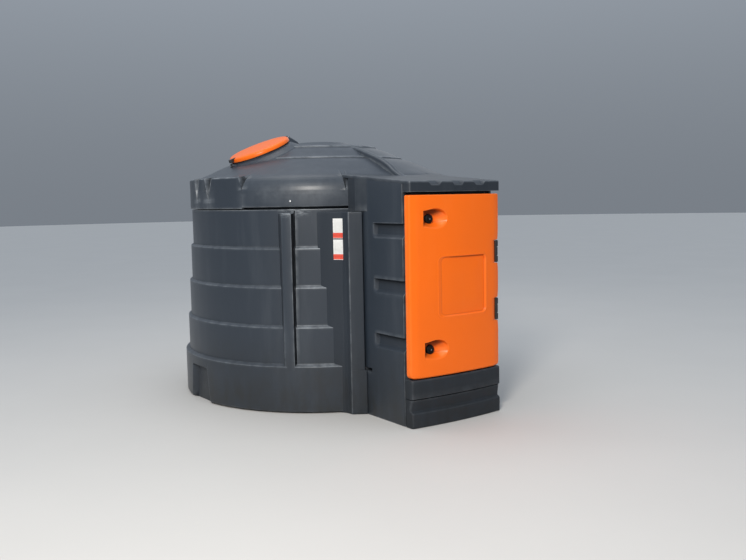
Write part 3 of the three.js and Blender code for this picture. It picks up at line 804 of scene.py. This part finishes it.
def roof_height(y):
    return ROOF_FRONT_Z + ROOF_SLOPE * (y - (FRONT_CORNER_Y - FRONT_BULGE))


# The ridge's (y, top) rows, and its cross-section as (x, height over the top)
RIDGE_TOP = [
    (-470, 2071), (-500, 2065), (-553, 2057), (-605, 2045), (-656, 2031), (-715, 2013), (-775, 1994),
    (-825, 1979), (-873, 1963), (-925, 1945), (-972, 1924), (-1003, 1909), (-1033, 1892), (-1060, 1874),
    (-1084, 1857), (-1107, 1844), (-1130, 1832), (-1160, 1819), (-1190, 1808), (-1230, 1797),
]
RIDGE_SECTION = [(-28, -400), (-28, -26), (-26, -13), (-20, -5), (-10, -1), (0, 0)]


def build_ridge():
    """The raised ridge from the dome's top step down to the cabinet's roof."""
    section = RIDGE_SECTION + [(-x, rise) for x, rise in reversed(RIDGE_SECTION[:-1])]
    rows = []
    for y, top in RIDGE_TOP:
        under = max(dome_height(abs(y)) if abs(y) < 1150 else 0, roof_height(y)) - 9
        rows.append([((x, y, max(under, top + rise)), (x, y, under - 1)) for x, rise in section])
    finish_piece(slab("ridge", rows), "front_ridge")


# Manhole, in its own tilted frame

MANHOLE = placed((-616, 0, 2056), -22.5, "Y")
NECK_RADIUS = 238
LID_PROFILE = [
    (0, 27), (90, 26.8), (170, 26.2), (220, 25.2), (238, 24), (247, 22), (254, 18.8), (259, 14.2),
    (262, 9), (263.6, 2), (264.8, -6), (265, -10.5), (264, -12), (257, -12), (253, -10), (253, 5),
    (250, 6), (0, 6),
]
# (distance outside the neck, height, rounding)
COLLAR_PROFILE = [
    (0.5, -130, 0), (0.5, -22, 4), (16, -22, 8), (40, -37, 24), (76, -64, 30), (104, -94, 20),
    (112, -130, 0),
]
NECK_PROFILE = [(0, -110, 2), (0, 5.5, 3), (-22, 5.5, 3), (-22, -110, 2)]


def build_manhole():
    for name, node, profile in (
        ("manhole_boss", "manhole_collar", COLLAR_PROFILE),
        ("manhole_rim", "manhole_neck", NECK_PROFILE),
    ):
        corners = rounded([(NECK_RADIUS + out, height, soft) for out, height, soft in profile])
        finish_piece(lathe(name, corners, 96, MANHOLE), node)
    finish_piece(lathe("lid", LID_PROFILE, 128, MANHOLE), "manhole_lid", slot="orange", body="lid")


# The lump that carries the lid's hinge
EAR_INSIDE = 23.2
LUMP_HALF = 46
LUMP_ALONG = (276, 278, 283, 289, 295, 298, 300, 302, 304, 308, 316, 326, 336, 346, 356)
LUMP_ACROSS = (0, 8, 16, 21, EAR_INSIDE, 23.9, 24.6, 25.3, 27, 31, 34, 37, 40, 43, LUMP_HALF)
LUMP_FOOT = -135
LID_PIN_X = 286


def lump_height(x, y):
    """Top of the lump, with a slot for the hinge's leaf between its two ears."""
    ear = smooth((abs(y) - EAR_INSIDE) / 2)
    ahead = 1 - smooth((x - 298) / 6)
    slot = -22 + (30 * ear) * ahead + 14 * (1 - ahead)
    crown = slot - 62 * max(0.0, (x - 300) / 54) ** 1.15
    return crown - 60 * (1 - smooth((LUMP_HALF - abs(y)) / 12))


def build_lid_hinge():
    across = [-y for y in reversed(LUMP_ACROSS[1:])] + list(LUMP_ACROSS)
    rows = [[((x, y, lump_height(x, y)), (x, y, LUMP_FOOT)) for y in across] for x in LUMP_ALONG]
    lump = slab("lid_hinge_boss", rows)
    lump.data.transform(MANHOLE)
    finish_piece(lump, "lid_hinge_bracket", sharp_angle=50)
    profile = rounded([(0, -42, 0), (5, -42, 1), (5, 42, 1), (0, 42, 0)])
    pin = lathe("lid_hinge_pin", profile, 24, MANHOLE @ placed((LID_PIN_X, 0, 0), 90, "X"))
    finish_piece(pin, slot="steel")


# Front panels, the flat upright faces between the round shell and the cabinet: (x, y, rounding)

PANEL_PLAN = [
    (-647, -953, 0), (-599, -1034, 40), (-566, -1084, 40), (-540, -1124, 40), (-531, -1160, 30),
    (-527.8, -1191, 0), (-527, -1199, 5), (-520.5, -1203.6, 0), (-438.6, -1261.6, 7),
    (-438.6, -1080, 0), (-560, -960, 0),
]
# Corners that reach further in below the step at PANEL_STEP
PANEL_FOOT = {(-438.6, -1261.6): (-423, -1269.5, 9), (-438.6, -1080): (-423, -1080, 0)}
PANEL_STEP = 334
PANEL_EDGE = (527, -1199)
PANEL_TOP = 1535


def build_front_panel(side):
    name = SIDES[side]
    upper = rounded(mirrored(PANEL_PLAN, side))
    lower = rounded(mirrored([PANEL_FOOT.get(corner[:2], corner) for corner in PANEL_PLAN], side))
    rings = plan_rings(lower, [*soft_rim(0, 8, 1), 60, 150, 250, PANEL_STEP])
    for share in (0.0, 0.3, 0.7, 1.0):
        turn = share * pi / 2
        start = 0.35 * (1 - cos(turn))
        level = PANEL_STEP + 6 * sin(turn)
        rings.append([(*(p + (q - p) * start for p, q in zip(a, b)), level) for a, b in zip(lower, upper)])
    levels = [341, 352, 500, 700, 900, 1100, 1300, 1450, 1512, *soft_rim(PANEL_TOP, 8, -1)]
    rings += plan_rings(upper, levels)
    panel = skin(f"{name}_panel", rings, capped=True)
    finish_piece(panel, f"{name}_front_panel", sharp_angle=34)
    edge_x, edge_y = PANEL_EDGE
    paint(panel, "wear_and_highlight", lambda x, y, z: 1.1 * bell(hypot(abs(x) - edge_x, y - edge_y), 4))
    paint(panel, "shade_and_grime", lambda x, y, z: 0.9)


# (turn, radius, rounding): a soft slope up to RIB_CREST on one side, a wall at RIB_WALL on the other
RIB_PLAN = [
    (40.4, 1118, 0), (40.4, 1133, 0), (43.2, 1234, 36), (44.2, 1238.3, 0), (45.5, 1238.6, 0),
    (46.88, 1238.3, 7), (46.9, 1118, 0),
]
RIB_CREST = 43.2
RIB_WALL = 46.86
RIB_TOP = 1532


def build_rib(side):
    """Upright rib, level with the base band."""
    name = SIDES[side]
    outline = rounded(round_plan(RIB_PLAN, side), steps=6)
    levels = [(300, 3), (318, 1.2), 334, 380, 500, 700, 900, 1100, 1300, 1450, 1508]
    rings = plan_rings(outline, levels + soft_rim(RIB_TOP, 9, -1))
    rib = skin(f"{name}_rib_skin", rings, capped=True)
    finish_piece(rib, f"{name}_rib", sharp_angle=34)
    paint(rib, "shade_and_grime", rib_shade)
    paint(rib, "wear_and_highlight", rib_edge_line)


def rib_shade(x, y, z):
    """The rib's upright wall beside its slot lies in deep shade, its slope in a little."""
    if turn_at(x, y) > RIB_WALL and hypot(x, y) < BANDS[0][0] - 1:
        return DEEP_SHADE
    return 0.8 * smooth((z - 500) / 300) if turn_at(x, y) < RIB_CREST + 0.2 else 0.0


def rib_edge_line(x, y, z):
    """A light line down the rib's sloping edge beside the lowest narrow band."""
    return 0.7 * (1 - smooth((z - 560) / 120)) * bell(turn_at(x, y) - RIB_CREST, 0.4)


# Cabinet


def shell_radius(z):
    for radius, top in BANDS:
        if z < top:
            return radius
    return SKIRT_RADIUS - 10


def side_levels():
    """Heights of a cabinet side's rows, closer together round its hollows."""
    levels = [0, 3, 8, *np.arange(20, 1700, 24.0)]
    for bottom in SIDE_POCKETS:
        top = bottom + SIDE_POCKET_HEIGHT
        levels += [bottom + step for step in (-6, 0, 14, 28, 34)] + [top + step for step in (-12, -3, 0, 5)]
    levels += [edge + step for edge in SIDE_HOLE[2:] for step in (-1.6, 0, 1.6)]
    levels = sorted(set(round(float(z), 1) for z in levels))
    return [z for k, z in enumerate(levels) if k == 0 or z - levels[k - 1] > 1.5]


def build_cabinet_side(side):
    """Side wall from the cabinet's front to just inside the round shell, up to under the roof."""
    name = SIDES[side]
    pocket = SIDE_POCKET_BACK_Y - WALL_FRONT_Y
    hole = SIDE_HOLE[0] - WALL_FRONT_Y
    along = {0, 1, 3, 6, 10, 16, 26, *range(40, 338, 22), hole - 2, hole}
    fixed = [WALL_FRONT_Y + a for a in sorted(along | {pocket + step for step in (-34, -28, -14, 0, 6)})]
    rows = []
    for z in [*side_levels(), None]:
        under_roof = z is None
        radius = shell_radius(ROOF_FRONT_Z if under_roof else z) - SIDE_OVERLAP
        end = sqrt(radius ** 2 - HALF_WIDTH ** 2)
        row = []
        for y in [*fixed, *np.linspace(fixed[-1] + 24, -end, 8)]:
            level = roof_height(y) - ROOF_THICKNESS - 0.3 if under_roof else z
            depth = side_depth(y, level) + front_round(y - WALL_FRONT_Y, 6)
            row.append((
                (side * (HALF_WIDTH - depth), y, level), (side * (HALF_WIDTH - WALL_THICKNESS), y, level),
            ))
        rows.append(row)
    wall = finish_piece(slab(f"cabinet_{name}_skin", rows), f"cabinet_{name}_side")
    paint(wall, "shade_and_grime", side_shade)


def side_shade(x, y, z):
    """Shade in the small hole, under the top wall of each pocket and on the wall's front edge."""
    inward = HALF_WIDTH - abs(x)
    if SIDE_POCKET_DEPTH + 2 < inward < WALL_THICKNESS - 2:
        return DEEP_SHADE
    value = 1.2 if y < WALL_FRONT_Y + 12 else 0.0
    for bottom in SIDE_POCKETS:
        within = 2 < inward < SIDE_POCKET_DEPTH + 2 and y < SIDE_POCKET_BACK_Y + 2
        if within and bottom < z < bottom + SIDE_POCKET_HEIGHT + 2:
            value = max(value, 0.5 + 1.8 * smooth((z - bottom - 50) / 50))
    return value


def side_depth(y, z):
    """Depth of the small hole, and of hand-holds: undercut at the top, sloped at the foot and the back."""
    for bottom in SIDE_POCKETS:
        top = bottom + SIDE_POCKET_HEIGHT
        if bottom < z < top and y < SIDE_POCKET_BACK_Y:
            slopes = ((z - bottom) / 28, (top - z) / 3, (SIDE_POCKET_BACK_Y - y) / 28)
            foot, head, back = (min(1.0, slope) for slope in slopes)
            return SIDE_POCKET_DEPTH * foot * head * back
    front, back, low, high = SIDE_HOLE
    return SIDE_HOLE_DEPTH if front <= y < back and low <= z <= high else 0.0


SCALLOPS = (-208, 0, 208)
SCALLOP_HALF = 55
SCALLOP_FLANK = 19
SCALLOP_DROP = 22
SCALLOP_SLOPE = 1.2 * SCALLOP_DROP / 46
FASCIA_BOTTOM = 1670
FASCIA_RETURN = 78
ROOF_BACK_Y = -1000
ROOF_ROLL = 9
# (inset, drop) pairs that round a side edge
ROOF_EDGE = [(0, ROOF_THICKNESS), (0, 9), (0.7, 5.6), (2.6, 2.6), (5.6, 0.7), (9, 0)]


def front_y(x):
    """The cabinet's gently bowed front."""
    return FRONT_CORNER_Y - FRONT_BULGE * (1 - (x / HALF_WIDTH) ** 2)


def roof_half(y):
    return np.interp(y, (-1297, -1184, -1066, -1000), (422.3, 450, 441, 441))


def scallop_share(x):
    return max(unit((SCALLOP_HALF - abs(x - centre)) / SCALLOP_FLANK) for centre in SCALLOPS)


def roof_surface(kind, value, y0, crest):
    """A place (y, z) on the roof's outside, and the direction (y, z) into it."""
    if kind == "face":
        return y0, FASCIA_BOTTOM + (crest - ROOF_ROLL - FASCIA_BOTTOM) * value, 1, 0
    if kind == "turn":
        y = y0 + ROOF_ROLL * (1 - cos(value))
        return y, crest - ROOF_ROLL + ROOF_ROLL * sin(value), cos(value), -sin(value)
    y = y0 + ROOF_ROLL + (ROOF_BACK_Y - y0 - ROOF_ROLL) * value
    return y, min(roof_height(y), crest + (y - y0 - ROOF_ROLL) * SCALLOP_SLOPE), 0, -1


def build_roof():
    """Roof and fascia in one skin: up the front, over its edge and back to the dome."""
    steps = [("face", share) for share in (0, 0.03, 0.08, 0.3, 0.6, 0.8, 0.92, 1.0)]
    steps += [("turn", radians(angle)) for angle in (22, 45, 68, 90)]
    steps += [("top", share) for share in (0.006, 0.015, 0.027, 0.04, 0.053, 0.066)]
    steps += [("top", share) for share in np.linspace(0.09, 1.0, 26)]
    inner = np.arange(-408, 409, 6.0)
    corner_y = front_y(HALF_WIDTH) + FASCIA_RETURN
    corner_z = roof_height(corner_y) - ROOF_THICKNESS
    rows = []
    for kind, value in steps:
        row = []
        flat = kind == "top"
        y_side = FRONT_CORNER_Y + (value * (ROOF_BACK_Y - FRONT_CORNER_Y) if flat else 0)
        for x, drop in edge_columns(roof_half(y_side), inner, ROOF_EDGE):
            y0 = front_y(clamp(x, HALF_WIDTH))
            crest = roof_height(y0) - SCALLOP_DROP * scallop_share(x)
            y, z, into_y, into_z = roof_surface(kind, value, y0, crest)
            x = clamp(x, roof_half(y))
            inside = clamp(x, HALF_WIDTH - ROOF_THICKNESS)
            if drop == ROOF_THICKNESS:
                y = max(y, corner_y) if flat else corner_y
                z = min(z, corner_z) if kind == "face" else roof_height(y) - ROOF_THICKNESS
                into_y = into_z = 0
            row.append((
                (x, y + into_y * drop, z + into_z * drop),
                (inside, y + into_y * ROOF_THICKNESS, z + into_z * ROOF_THICKNESS),
            ))
        rows.append(row)
    roof = finish_piece(slab("roof", rows), "cabinet_roof", "fascia", sharp_angle=50)
    paint(roof, "shade_and_grime", lambda x, y, z: 1.3 if z < ROOF_FRONT_Z - 12 and y < WALL_FRONT_Y else 0.7)


# (height, setback) from the ground up to the door
PLINTH_PROFILE = [
    (0, 5), (1, 1.5), (3, -1), (6, -2.6), (9, -3), (60, -3), (98, -3), (103, -2.2), (107, 0.5), (110, 4),
    (114, 11), (117, 17), (120, 20.5), (124, 21.5), (135, 20.5), (160, 17), (185, 13.5), (200, 12),
    (203, 12.6), (204.2, 17), (205.4, 19), (208.6, 19), (209.6, 12), (210, 2), (211.4, 0.5), (214, 0),
    (260, 0), (320, 0), (333, 0), (339, 1.2), (343, 4.5), (345, 10),
]
PLINTH_GROOVE = (202, 209.8)
PLINTH_DEPTH = 74
PLINTH_EDGE = [(0, PLINTH_DEPTH), (0, 40), (0, 12), (0.9, 7.4), (3.4, 3.4), (7.4, 0.9), (12, 0)]


def build_plinth():
    rows = []
    for z, setback in PLINTH_PROFILE:
        row = []
        for x, drop in edge_columns(HALF_WIDTH + 0.4, np.arange(-400, 401, 16.0), PLINTH_EDGE):
            face = front_y(clamp(x, HALF_WIDTH))
            share = 1 if drop < 12 else max(0.0, 1 - drop / 60)
            behind = (clamp(x, HALF_WIDTH - 30), face + PLINTH_DEPTH, z)
            row.append(((x, face + drop + setback * share, z), behind))
        rows.append(row)
    plinth = finish_piece(slab("plinth", rows), "plinth_front", sharp_angle=50)
    low, high = PLINTH_GROOVE
    # Painted shade: black in the groove, and the rest of the plinth darker all over
    paint(plinth, "shade_and_grime", lambda x, y, z: DEEP_SHADE if low < z < high else 1.6)


CHEEK_PLAN = [(-422.3, -1297, 0), (-450, -1184, 12), (-437, -1064, 10), (-400, -1064, 0), (-400, -1290, 0)]


def build_cheek(side):
    """Piece under the roof's wider back, standing on the front panel."""
    name = SIDES[side]
    outline = rounded(mirrored(CHEEK_PLAN, side))
    rings = plan_rings(outline, [*soft_rim(1535.3, 5, 1), 1600, 1660, 1720])
    rings.append([(u, v, roof_height(v) - 20) for u, v in outline])
    cheek = skin(f"{name}_cheek", rings, capped=True)
    finish_piece(cheek, f"{name}_roof_cheek", sharp_angle=34)
    paint(cheek, "shade_and_grime", lambda x, y, z: 1.0)


# Door


def spaced(low, high, step, dense):
    """Places from low to high, with a finer step inside each (from, to, step) zone."""
    places = [low]
    while places[-1] < high - 1e-6:
        here = places[-1]
        size = step
        for start, end, fine in dense:
            if start <= here + 1e-6 < end:
                size = min(size, fine)
            elif here < start < here + size:
                size = start - here
        places.append(min(high, here + size))
    return places


def inside_recess(x, z):
    """How far a point lies inside the recess's rounded outline, negative outside."""
    x0, x1, z0, z1 = DOOR_RECESS
    dx = abs(x - (x0 + x1) / 2) - (x1 - x0) / 2 + DOOR_RECESS_CORNER
    dz = abs(z - (z0 + z1) / 2) - (z1 - z0) / 2 + DOOR_RECESS_CORNER
    return DOOR_RECESS_CORNER - hypot(max(dx, 0), max(dz, 0)) - min(max(dx, dz), 0)


def door_outline(z):
    """Half-width of the door at height z, on its left and its right."""
    left = DOOR_HALF
    for end, corner in ((z - DOOR_BOTTOM, DOOR_LOW_CORNER), (DOOR_TOP - z, DOOR_HIGH_CORNER)):
        left -= front_round(end, corner)
    right = left
    for height in HINGE_HEIGHTS:
        inside = HINGE_NOTCH_HALF - abs(z - height)
        right -= (DOOR_HALF - HINGE_NOTCH_X) * smooth(inside / 7 + 0.5)
    return left, right


def scoop_depth(x, z, height):
    """Share of the full depth of a lock scoop: square at its left, a rounded bowl at its right."""
    u = x - SCOOP_LEFT
    v = z - height
    run = SCOOP_RIGHT - SCOOP_LEFT
    if not 0 < u < run:
        return 0.0
    if u < SCOOP_BOWL:
        half = SCOOP_LEFT_HALF + (SCOOP_HALF - SCOOP_LEFT_HALF) * smooth(u / SCOOP_BOWL)
    else:
        half = SCOOP_HALF * sqrt(max(0.0, 1 - ((u - SCOOP_BOWL) / (run - SCOOP_BOWL)) ** 2))
    if half < 1 or abs(v) > half:
        return 0.0
    wall = smooth(u / 7)
    side = (half - abs(v)) / half
    head = smooth(side / 0.15) if v > 0 else smooth(side / 0.75)
    ahead = max(0.0, u - SCOOP_FLAT) / (run - SCOOP_FLAT)
    return wall * head * sqrt(max(0.0, 1 - ahead ** 2)) ** 2.2


def recess_depth(x, z):
    """Shallow panel with a rolled rim: nearly flush at its left, deepest right of its middle."""
    x0, x1, _, z1 = DOOR_RECESS
    share = unit((x - x0) / (x1 - x0))
    full = RECESS_LEFT_DEPTH + (DOOR_RECESS_DEPTH - RECESS_LEFT_DEPTH) * sin(1.95 * share)
    inside = inside_recess(x, z)
    soft_left = 1 - smooth((x - x0) / 60)
    sharp_top = 1 - smooth((z1 - z) / 60)
    rolled = smooth((inside + 3) / (13 + 30 * soft_left - 7 * sharp_top * (1 - soft_left)))
    cushion = 0.3 * smooth(inside / 120)
    return full * (rolled - cushion * rolled) - DOOR_BEAD * bell(inside + 6, 5)


def door_surface(x, z, flat_x):
    """The door's outer face: slow waves, recess, scoops, softer side strips and rounded edges."""
    y = front_y(x) + recess_depth(x, z) + 0.8 * (1 + sin(x / 83 + 1.3) * sin(z / 127))
    for height in LATCH_HEIGHTS:
        y += (SCOOP_FLOOR_Y - y) * scoop_depth(x, z, height)
    aside = DOOR_HALF - abs(flat_x)
    y += 9 * (1 - smooth(aside / 66))
    if flat_x > 0:
        near = max(smooth(1.6 - abs(z - height) / 100) for height in HINGE_HEIGHTS)
        y += HINGE_DENT * near * max(0.0, 1 - aside / 140) ** 1.5
    y += front_round(aside, DOOR_SIDE_ROUND)
    return y + front_round(z - DOOR_BOTTOM, DOOR_LOW_ROUND) + front_round(DOOR_TOP - z, DOOR_HIGH_ROUND)


def build_door():
    """The door in one skin, whose outer columns, DOOR_MARGIN wide, follow its outline."""
    start = DOOR_HALF - DOOR_MARGIN
    corner = DOOR_RECESS_CORNER
    x0, x1, z0, z1 = DOOR_RECESS
    across = spaced(-DOOR_HALF, DOOR_HALF, 14, [
        (-DOOR_HALF, -DOOR_HALF + 3, 0.8), (-DOOR_HALF + 3, -DOOR_HALF + DOOR_SIDE_ROUND, 2.5),
        (SCOOP_LEFT - 4, SCOOP_LEFT + 9, 1.2), (SCOOP_LEFT + 9, SCOOP_RIGHT - 26, 4),
        (SCOOP_RIGHT - 26, SCOOP_RIGHT + 5, 2), (x0 - 8, x0 + corner, 2.5), (x1 - corner, x1 + 8, 2.5),
        (DOOR_HALF - DOOR_SIDE_ROUND, DOOR_HALF - 3, 2.5), (DOOR_HALF - 3, DOOR_HALF, 0.8),
    ])
    zones = [
        (DOOR_BOTTOM, DOOR_BOTTOM + 3, 1), (DOOR_BOTTOM + 3, DOOR_BOTTOM + DOOR_LOW_CORNER, 3),
        (DOOR_TOP - DOOR_HIGH_CORNER, DOOR_TOP - 3, 2), (DOOR_TOP - 3, DOOR_TOP, 1),
        (z0 - 8, z0 + corner, 2.5), (z1 - corner, z1 + 8, 2.5),
    ]
    zones += [(height - SCOOP_HALF - 8, height + SCOOP_HALF + 8, 3) for height in LATCH_HEIGHTS]
    for height in HINGE_HEIGHTS:
        zones += [(end - 6, end + 6, 1.5) for end in (height - HINGE_NOTCH_HALF, height + HINGE_NOTCH_HALF)]
    rows = []
    for z in spaced(DOOR_BOTTOM, DOOR_TOP, 18, zones):
        left, right = door_outline(z)
        row = []
        for flat_x in across:
            x = flat_x
            if abs(flat_x) > start:
                share = (abs(flat_x) - start) / DOOR_MARGIN
                x = copysign(start + share * ((left if flat_x < 0 else right) - start), flat_x)
            row.append(((x, door_surface(x, z, flat_x), z), (x, DOOR_BACK_Y, z)))
        rows.append(row)
    door = finish_piece(slab("door", rows), "door_panel", slot="orange", body="door")
    paint(door, "shade_and_grime", recess_top_shadow)
    paint(door, "shade_and_grime", scoop_shadow)
    paint(door, "wear_and_highlight", scoop_highlight)


def recess_top_shadow(x, y, z):
    """Painted shade: a dark line under the recess's top edge, fading towards its left."""
    x0, x1, _, z1 = DOOR_RECESS
    if y > DOOR_BACK_Y - 4 or not x0 < x < x1 - 12:
        return 0.0
    return 1.5 * bell(z - z1 + 5, 5) * smooth((x - x0 - 50) / 80)


def nearest_scoop(x, y, z):
    """(depth share, height above the scoop's middle) at a point of the door's outer face."""
    height = min(LATCH_HEIGHTS, key=lambda place: abs(z - place))
    depth = 0.0 if y > DOOR_BACK_Y - 4 else scoop_depth(x, z, height)
    return (depth if depth > 0.05 else 0.0), z - height


def scoop_shadow(x, y, z):
    """Painted shadow under the top wall and along the left wall of the lock scoops."""
    depth, above = nearest_scoop(x, y, z)
    return 3.2 * depth * max(smooth((above + 10) / 70), smooth(1.15 - (x - SCOOP_LEFT) / 90))


def scoop_highlight(x, y, z):
    """Painted highlight: a paler end at the lower right of the lock scoops."""
    depth, above = nearest_scoop(x, y, z)
    end = smooth((x - SCOOP_RIGHT + 80) / 40) * smooth((25 - above) / 45)
    return 2.6 * end * smooth(3 * depth)


FRAME_FREE_X = -400
FRAME_INSET = 18


def build_door_frame():
    """The frame's free side stands a little further in than the cabinet's, and its ends get painted shade,
    so the door's joint is dark.
    """
    skinned = softened("door_frame", 4, 40)
    for vertex in skinned.data.vertices:
        if vertex.co.x < FRAME_FREE_X * MM:
            vertex.co.x += FRAME_INSET * MM
    # Painted shade: black on the frame's upright ends, in the door's joint
    paint(skinned, "shade_and_grime", lambda x, y, z: DEEP_SHADE if abs(x) > 375 else 0.0)


# Small parts: (radius, height, rounding) round a lock's axis, and a screw's head in shares of its radius

LATCH_CASE = [
    (0, 0.3, 0), (36, 0.3, 0), (36, 6, 2), (33.5, 8, 2), (32.5, 17, 5), (24, 22, 3), (19.5, 22, 1.5),
    (19.5, 8, 0), (0, 8, 0),
]
LATCH_FACE = [
    (5.4, 24.3, 0), (5.4, 27, 1), (15.5, 27, 2), (18.2, 24.4, 1.5), (18.2, 12, 0), (17.3, 12, 0),
    (17.3, 24.3, 0),
]
SCREW_SINK = 2
SCREW_HEAD = [(1, 0.2), (0.85, 0.42), (0.5, 0.56), (0.3, 0.6), (0.26, 0.3), (0, 0.3)]
HINGE_SCREWS = (-58, -20, 20, 58)
SKIRT_SCREWS = (45, 135, 225.8, 314.2)
SKIRT_SCREW_Z = 1621


def build_latch(height, label):
    """Black case on the scoop's floor, and the turning face with a round hole for the key."""
    axis = placed((LATCH_X, SCOOP_FLOOR_Y, height), 90, "X")
    case = lathe(f"{label}_latch_case", rounded(LATCH_CASE), 64, axis)
    finish_piece(case, f"{label}_latch_plate", slot="black", body="door", material="lock")
    face = lathe(f"{label}_latch_face", rounded(LATCH_FACE), 48, axis)
    finish_piece(face, slot="black", body=f"{label}_lock", material="lock")


def screw(name, place, axis, body, radius):
    """Pan-head screw with a round hole in its head, which stands on place along axis."""
    turn = Vector((0, 0, 1)).rotation_difference(Vector(axis)).to_matrix().to_4x4()
    head = [(radius * out, radius * up) for out, up in SCREW_HEAD]
    profile = [(0, -SCREW_SINK), (radius, -SCREW_SINK), *head]
    made = lathe(name, profile, 24, Matrix.Translation(Vector(place) * MM) @ turn)
    finish_piece(made, slot="steel", body=body)


def build_fittings():
    for label, height in zip(("lower", "upper"), HINGE_HEIGHTS):
        softened(f"{label}_hinge_leaf", 2, 12, "black", "door")
        softened(f"{label}_hinge_bracket", 2, 12, "black")
        for k, offset in enumerate(HINGE_SCREWS):
            place = (HINGE_NOTCH_X + 8, HINGE_Y + 16, height + offset)
            screw(f"{label}_hinge_screw_{k}", place, (1, 0, 0), "door", 5)
    for label, height in zip(("lower", "upper"), LATCH_HEIGHTS):
        build_latch(height, label)
    for k, angle in enumerate(SKIRT_SCREWS):
        outward = Vector((*polar(1, angle), 0))
        place = outward * SKIRT_RADIUS + Vector((0, 0, SKIRT_SCREW_Z))
        screw(f"skirt_screw_{k}", place, outward, "tank", 8)


# (bottom, top) of the two blank plates, and their reach across the left front panel
PLATES = [(1336, 1485), (1175, 1327)]
PLATE_FROM_X = -577.5
PLATE_TO_X = -537
BAND_BOTTOM = 3
BAND_TOP = 42


def build_plates():
    """Two blank plates with a plain band each, bent to the left front panel."""
    outline = rounded(PANEL_PLAN)
    steps = inward_normals(outline)
    track = [
        (p[0], (p[1], n.x, n.y)) for p, n in zip(outline, steps)
        if p[0] < PLATE_TO_X + 8 and -1192 < p[1] < -1000
    ]
    known, values = zip(*track)
    for k, (low, high) in enumerate(PLATES):
        for part, bottom, top, proud in (
            ("plate", low, high, 1.2), ("band", low + BAND_BOTTOM, low + BAND_TOP, 1.5),
        ):
            rows = []
            for z in (bottom, (bottom + top) / 2, top):
                row = []
                for x in np.linspace(PLATE_FROM_X, PLATE_TO_X, 12):
                    y, nx, ny = (np.interp(x, known, column) for column in zip(*values))
                    row.append(((x - nx * proud, y - ny * proud, z), (x + nx, y + ny, z)))
                rows.append(row)
            piece = slab(f"blank_{part}_{k}", rows)
            dress(piece.data, part, 35)
            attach(piece, "tank")


def dress_cad_nodes():
    looks = {"bund_floor": "shell", "lower_latch": "steel", "upper_latch": "steel"}
    looks |= {f"inner_tank_{part}": "inner" for part in ("floor", "left", "right", "front", "rear")}
    for name, material in looks.items():
        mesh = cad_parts[name].data
        mesh.materials.clear()
        mesh.materials.append(MATERIALS[material])


# Camera, floor and light, in metres and radians

CAMERA_PLACE = (-3.9578, -6.3687, 1.640)
CAMERA_HEADING = (0.5763, 0.8172, 0)
CAMERA_PITCH = 0.0991
CAMERA_ROLL = 0.0191
CAMERA_LENS = 40.27
FLOOR_RADIUS = 60


def build_camera():
    data = bpy.data.cameras.new("camera")
    data.sensor_fit = "HORIZONTAL"
    data.sensor_width = 36
    data.lens = CAMERA_LENS
    level = Vector(CAMERA_HEADING).normalized()
    forward = level * cos(CAMERA_PITCH) - Vector((0, 0, 1)) * sin(CAMERA_PITCH)
    right = Vector((level.y, -level.x, 0))
    up = right.cross(forward)
    rolled_right = right * cos(CAMERA_ROLL) - up * sin(CAMERA_ROLL)
    rolled_up = right * sin(CAMERA_ROLL) + up * cos(CAMERA_ROLL)
    turn = Matrix((rolled_right, rolled_up, -forward)).transposed().to_4x4()
    scene.camera = link_object("camera", data)
    scene.camera.matrix_world = Matrix.Translation(Vector(CAMERA_PLACE)) @ turn


def area_light(name, place, target, size, power, colour=(1, 1, 1)):
    data = bpy.data.lights.new(name, "AREA")
    data.shape = "DISK"
    data.size = size
    data.energy = power
    data.color = colour
    turn = (Vector(target) - Vector(place)).to_track_quat("-Z", "Y").to_matrix().to_4x4()
    link_object(name, data).matrix_world = Matrix.Translation(place) @ turn


def build_stage():
    reach = FLOOR_RADIUS / MM
    floor = lathe("floor", [(0, -1), (reach, -1), (reach, -3), (0, -3)], 64)
    material = bpy.data.materials.new("studio_floor")
    n = Nodes(material, "Principled BSDF")
    tone = n.ramp(n.noise(0.8, 4.0), 0.3, 0.8)
    n.finish(Base_Color=n.mix(n.times(tone, 0.3), (0.62, 0.6, 0.57), (0.55, 0.535, 0.51)), Roughness=0.75)
    floor.data.materials.append(material)
    scene.world = bpy.data.worlds.new("studio")
    n = Nodes(scene.world, "Background")
    up = n.height(n.node("ShaderNodeTexCoord").outputs["Generated"])
    sockets = {"Value": up, "From Min": -0.05, "From Max": 0.9, "To Min": 0.25, "To Max": 0.85}
    strength = n.node("ShaderNodeMapRange", sockets, interpolation_type="SMOOTHSTEP").outputs["Result"]
    n.finish(Color=(0.76, 0.85, 0.97), Strength=strength)
    scene.view_settings.view_transform = "Standard"
    area_light("key", (-5.5, -6.1, 5.0), (0, -0.6, 1.2), 1.7, 485, (1, 0.95, 0.88))
    area_light("overhead", (-0.8, 0.5, 6.5), (0, 0, 1), 3.5, 60, (1, 0.98, 0.95))
    area_light("rim", (5.0, 4.5, 4.5), (0, 0, 1), 3.0, 10)


build_camera()
build_stage()
build_lower_shell()
build_upper_shell()
build_ridge()
build_manhole()
for side in SIDES:
    build_rib(side)
    build_front_panel(side)
    build_cheek(side)
    build_cabinet_side(side)
build_roof()
build_plinth()
build_door()
softened("cabinet_floor", 4, 40)
build_door_frame()
build_lid_hinge()
softened("hasp_staple", 1.5, 12, "black")
softened("lid_hinge_leaf", 2, 12, "black", "lid")
softened("lid_hasp", 2, 12, "black", "lid")
build_fittings()
build_plates()
dress_cad_nodes()
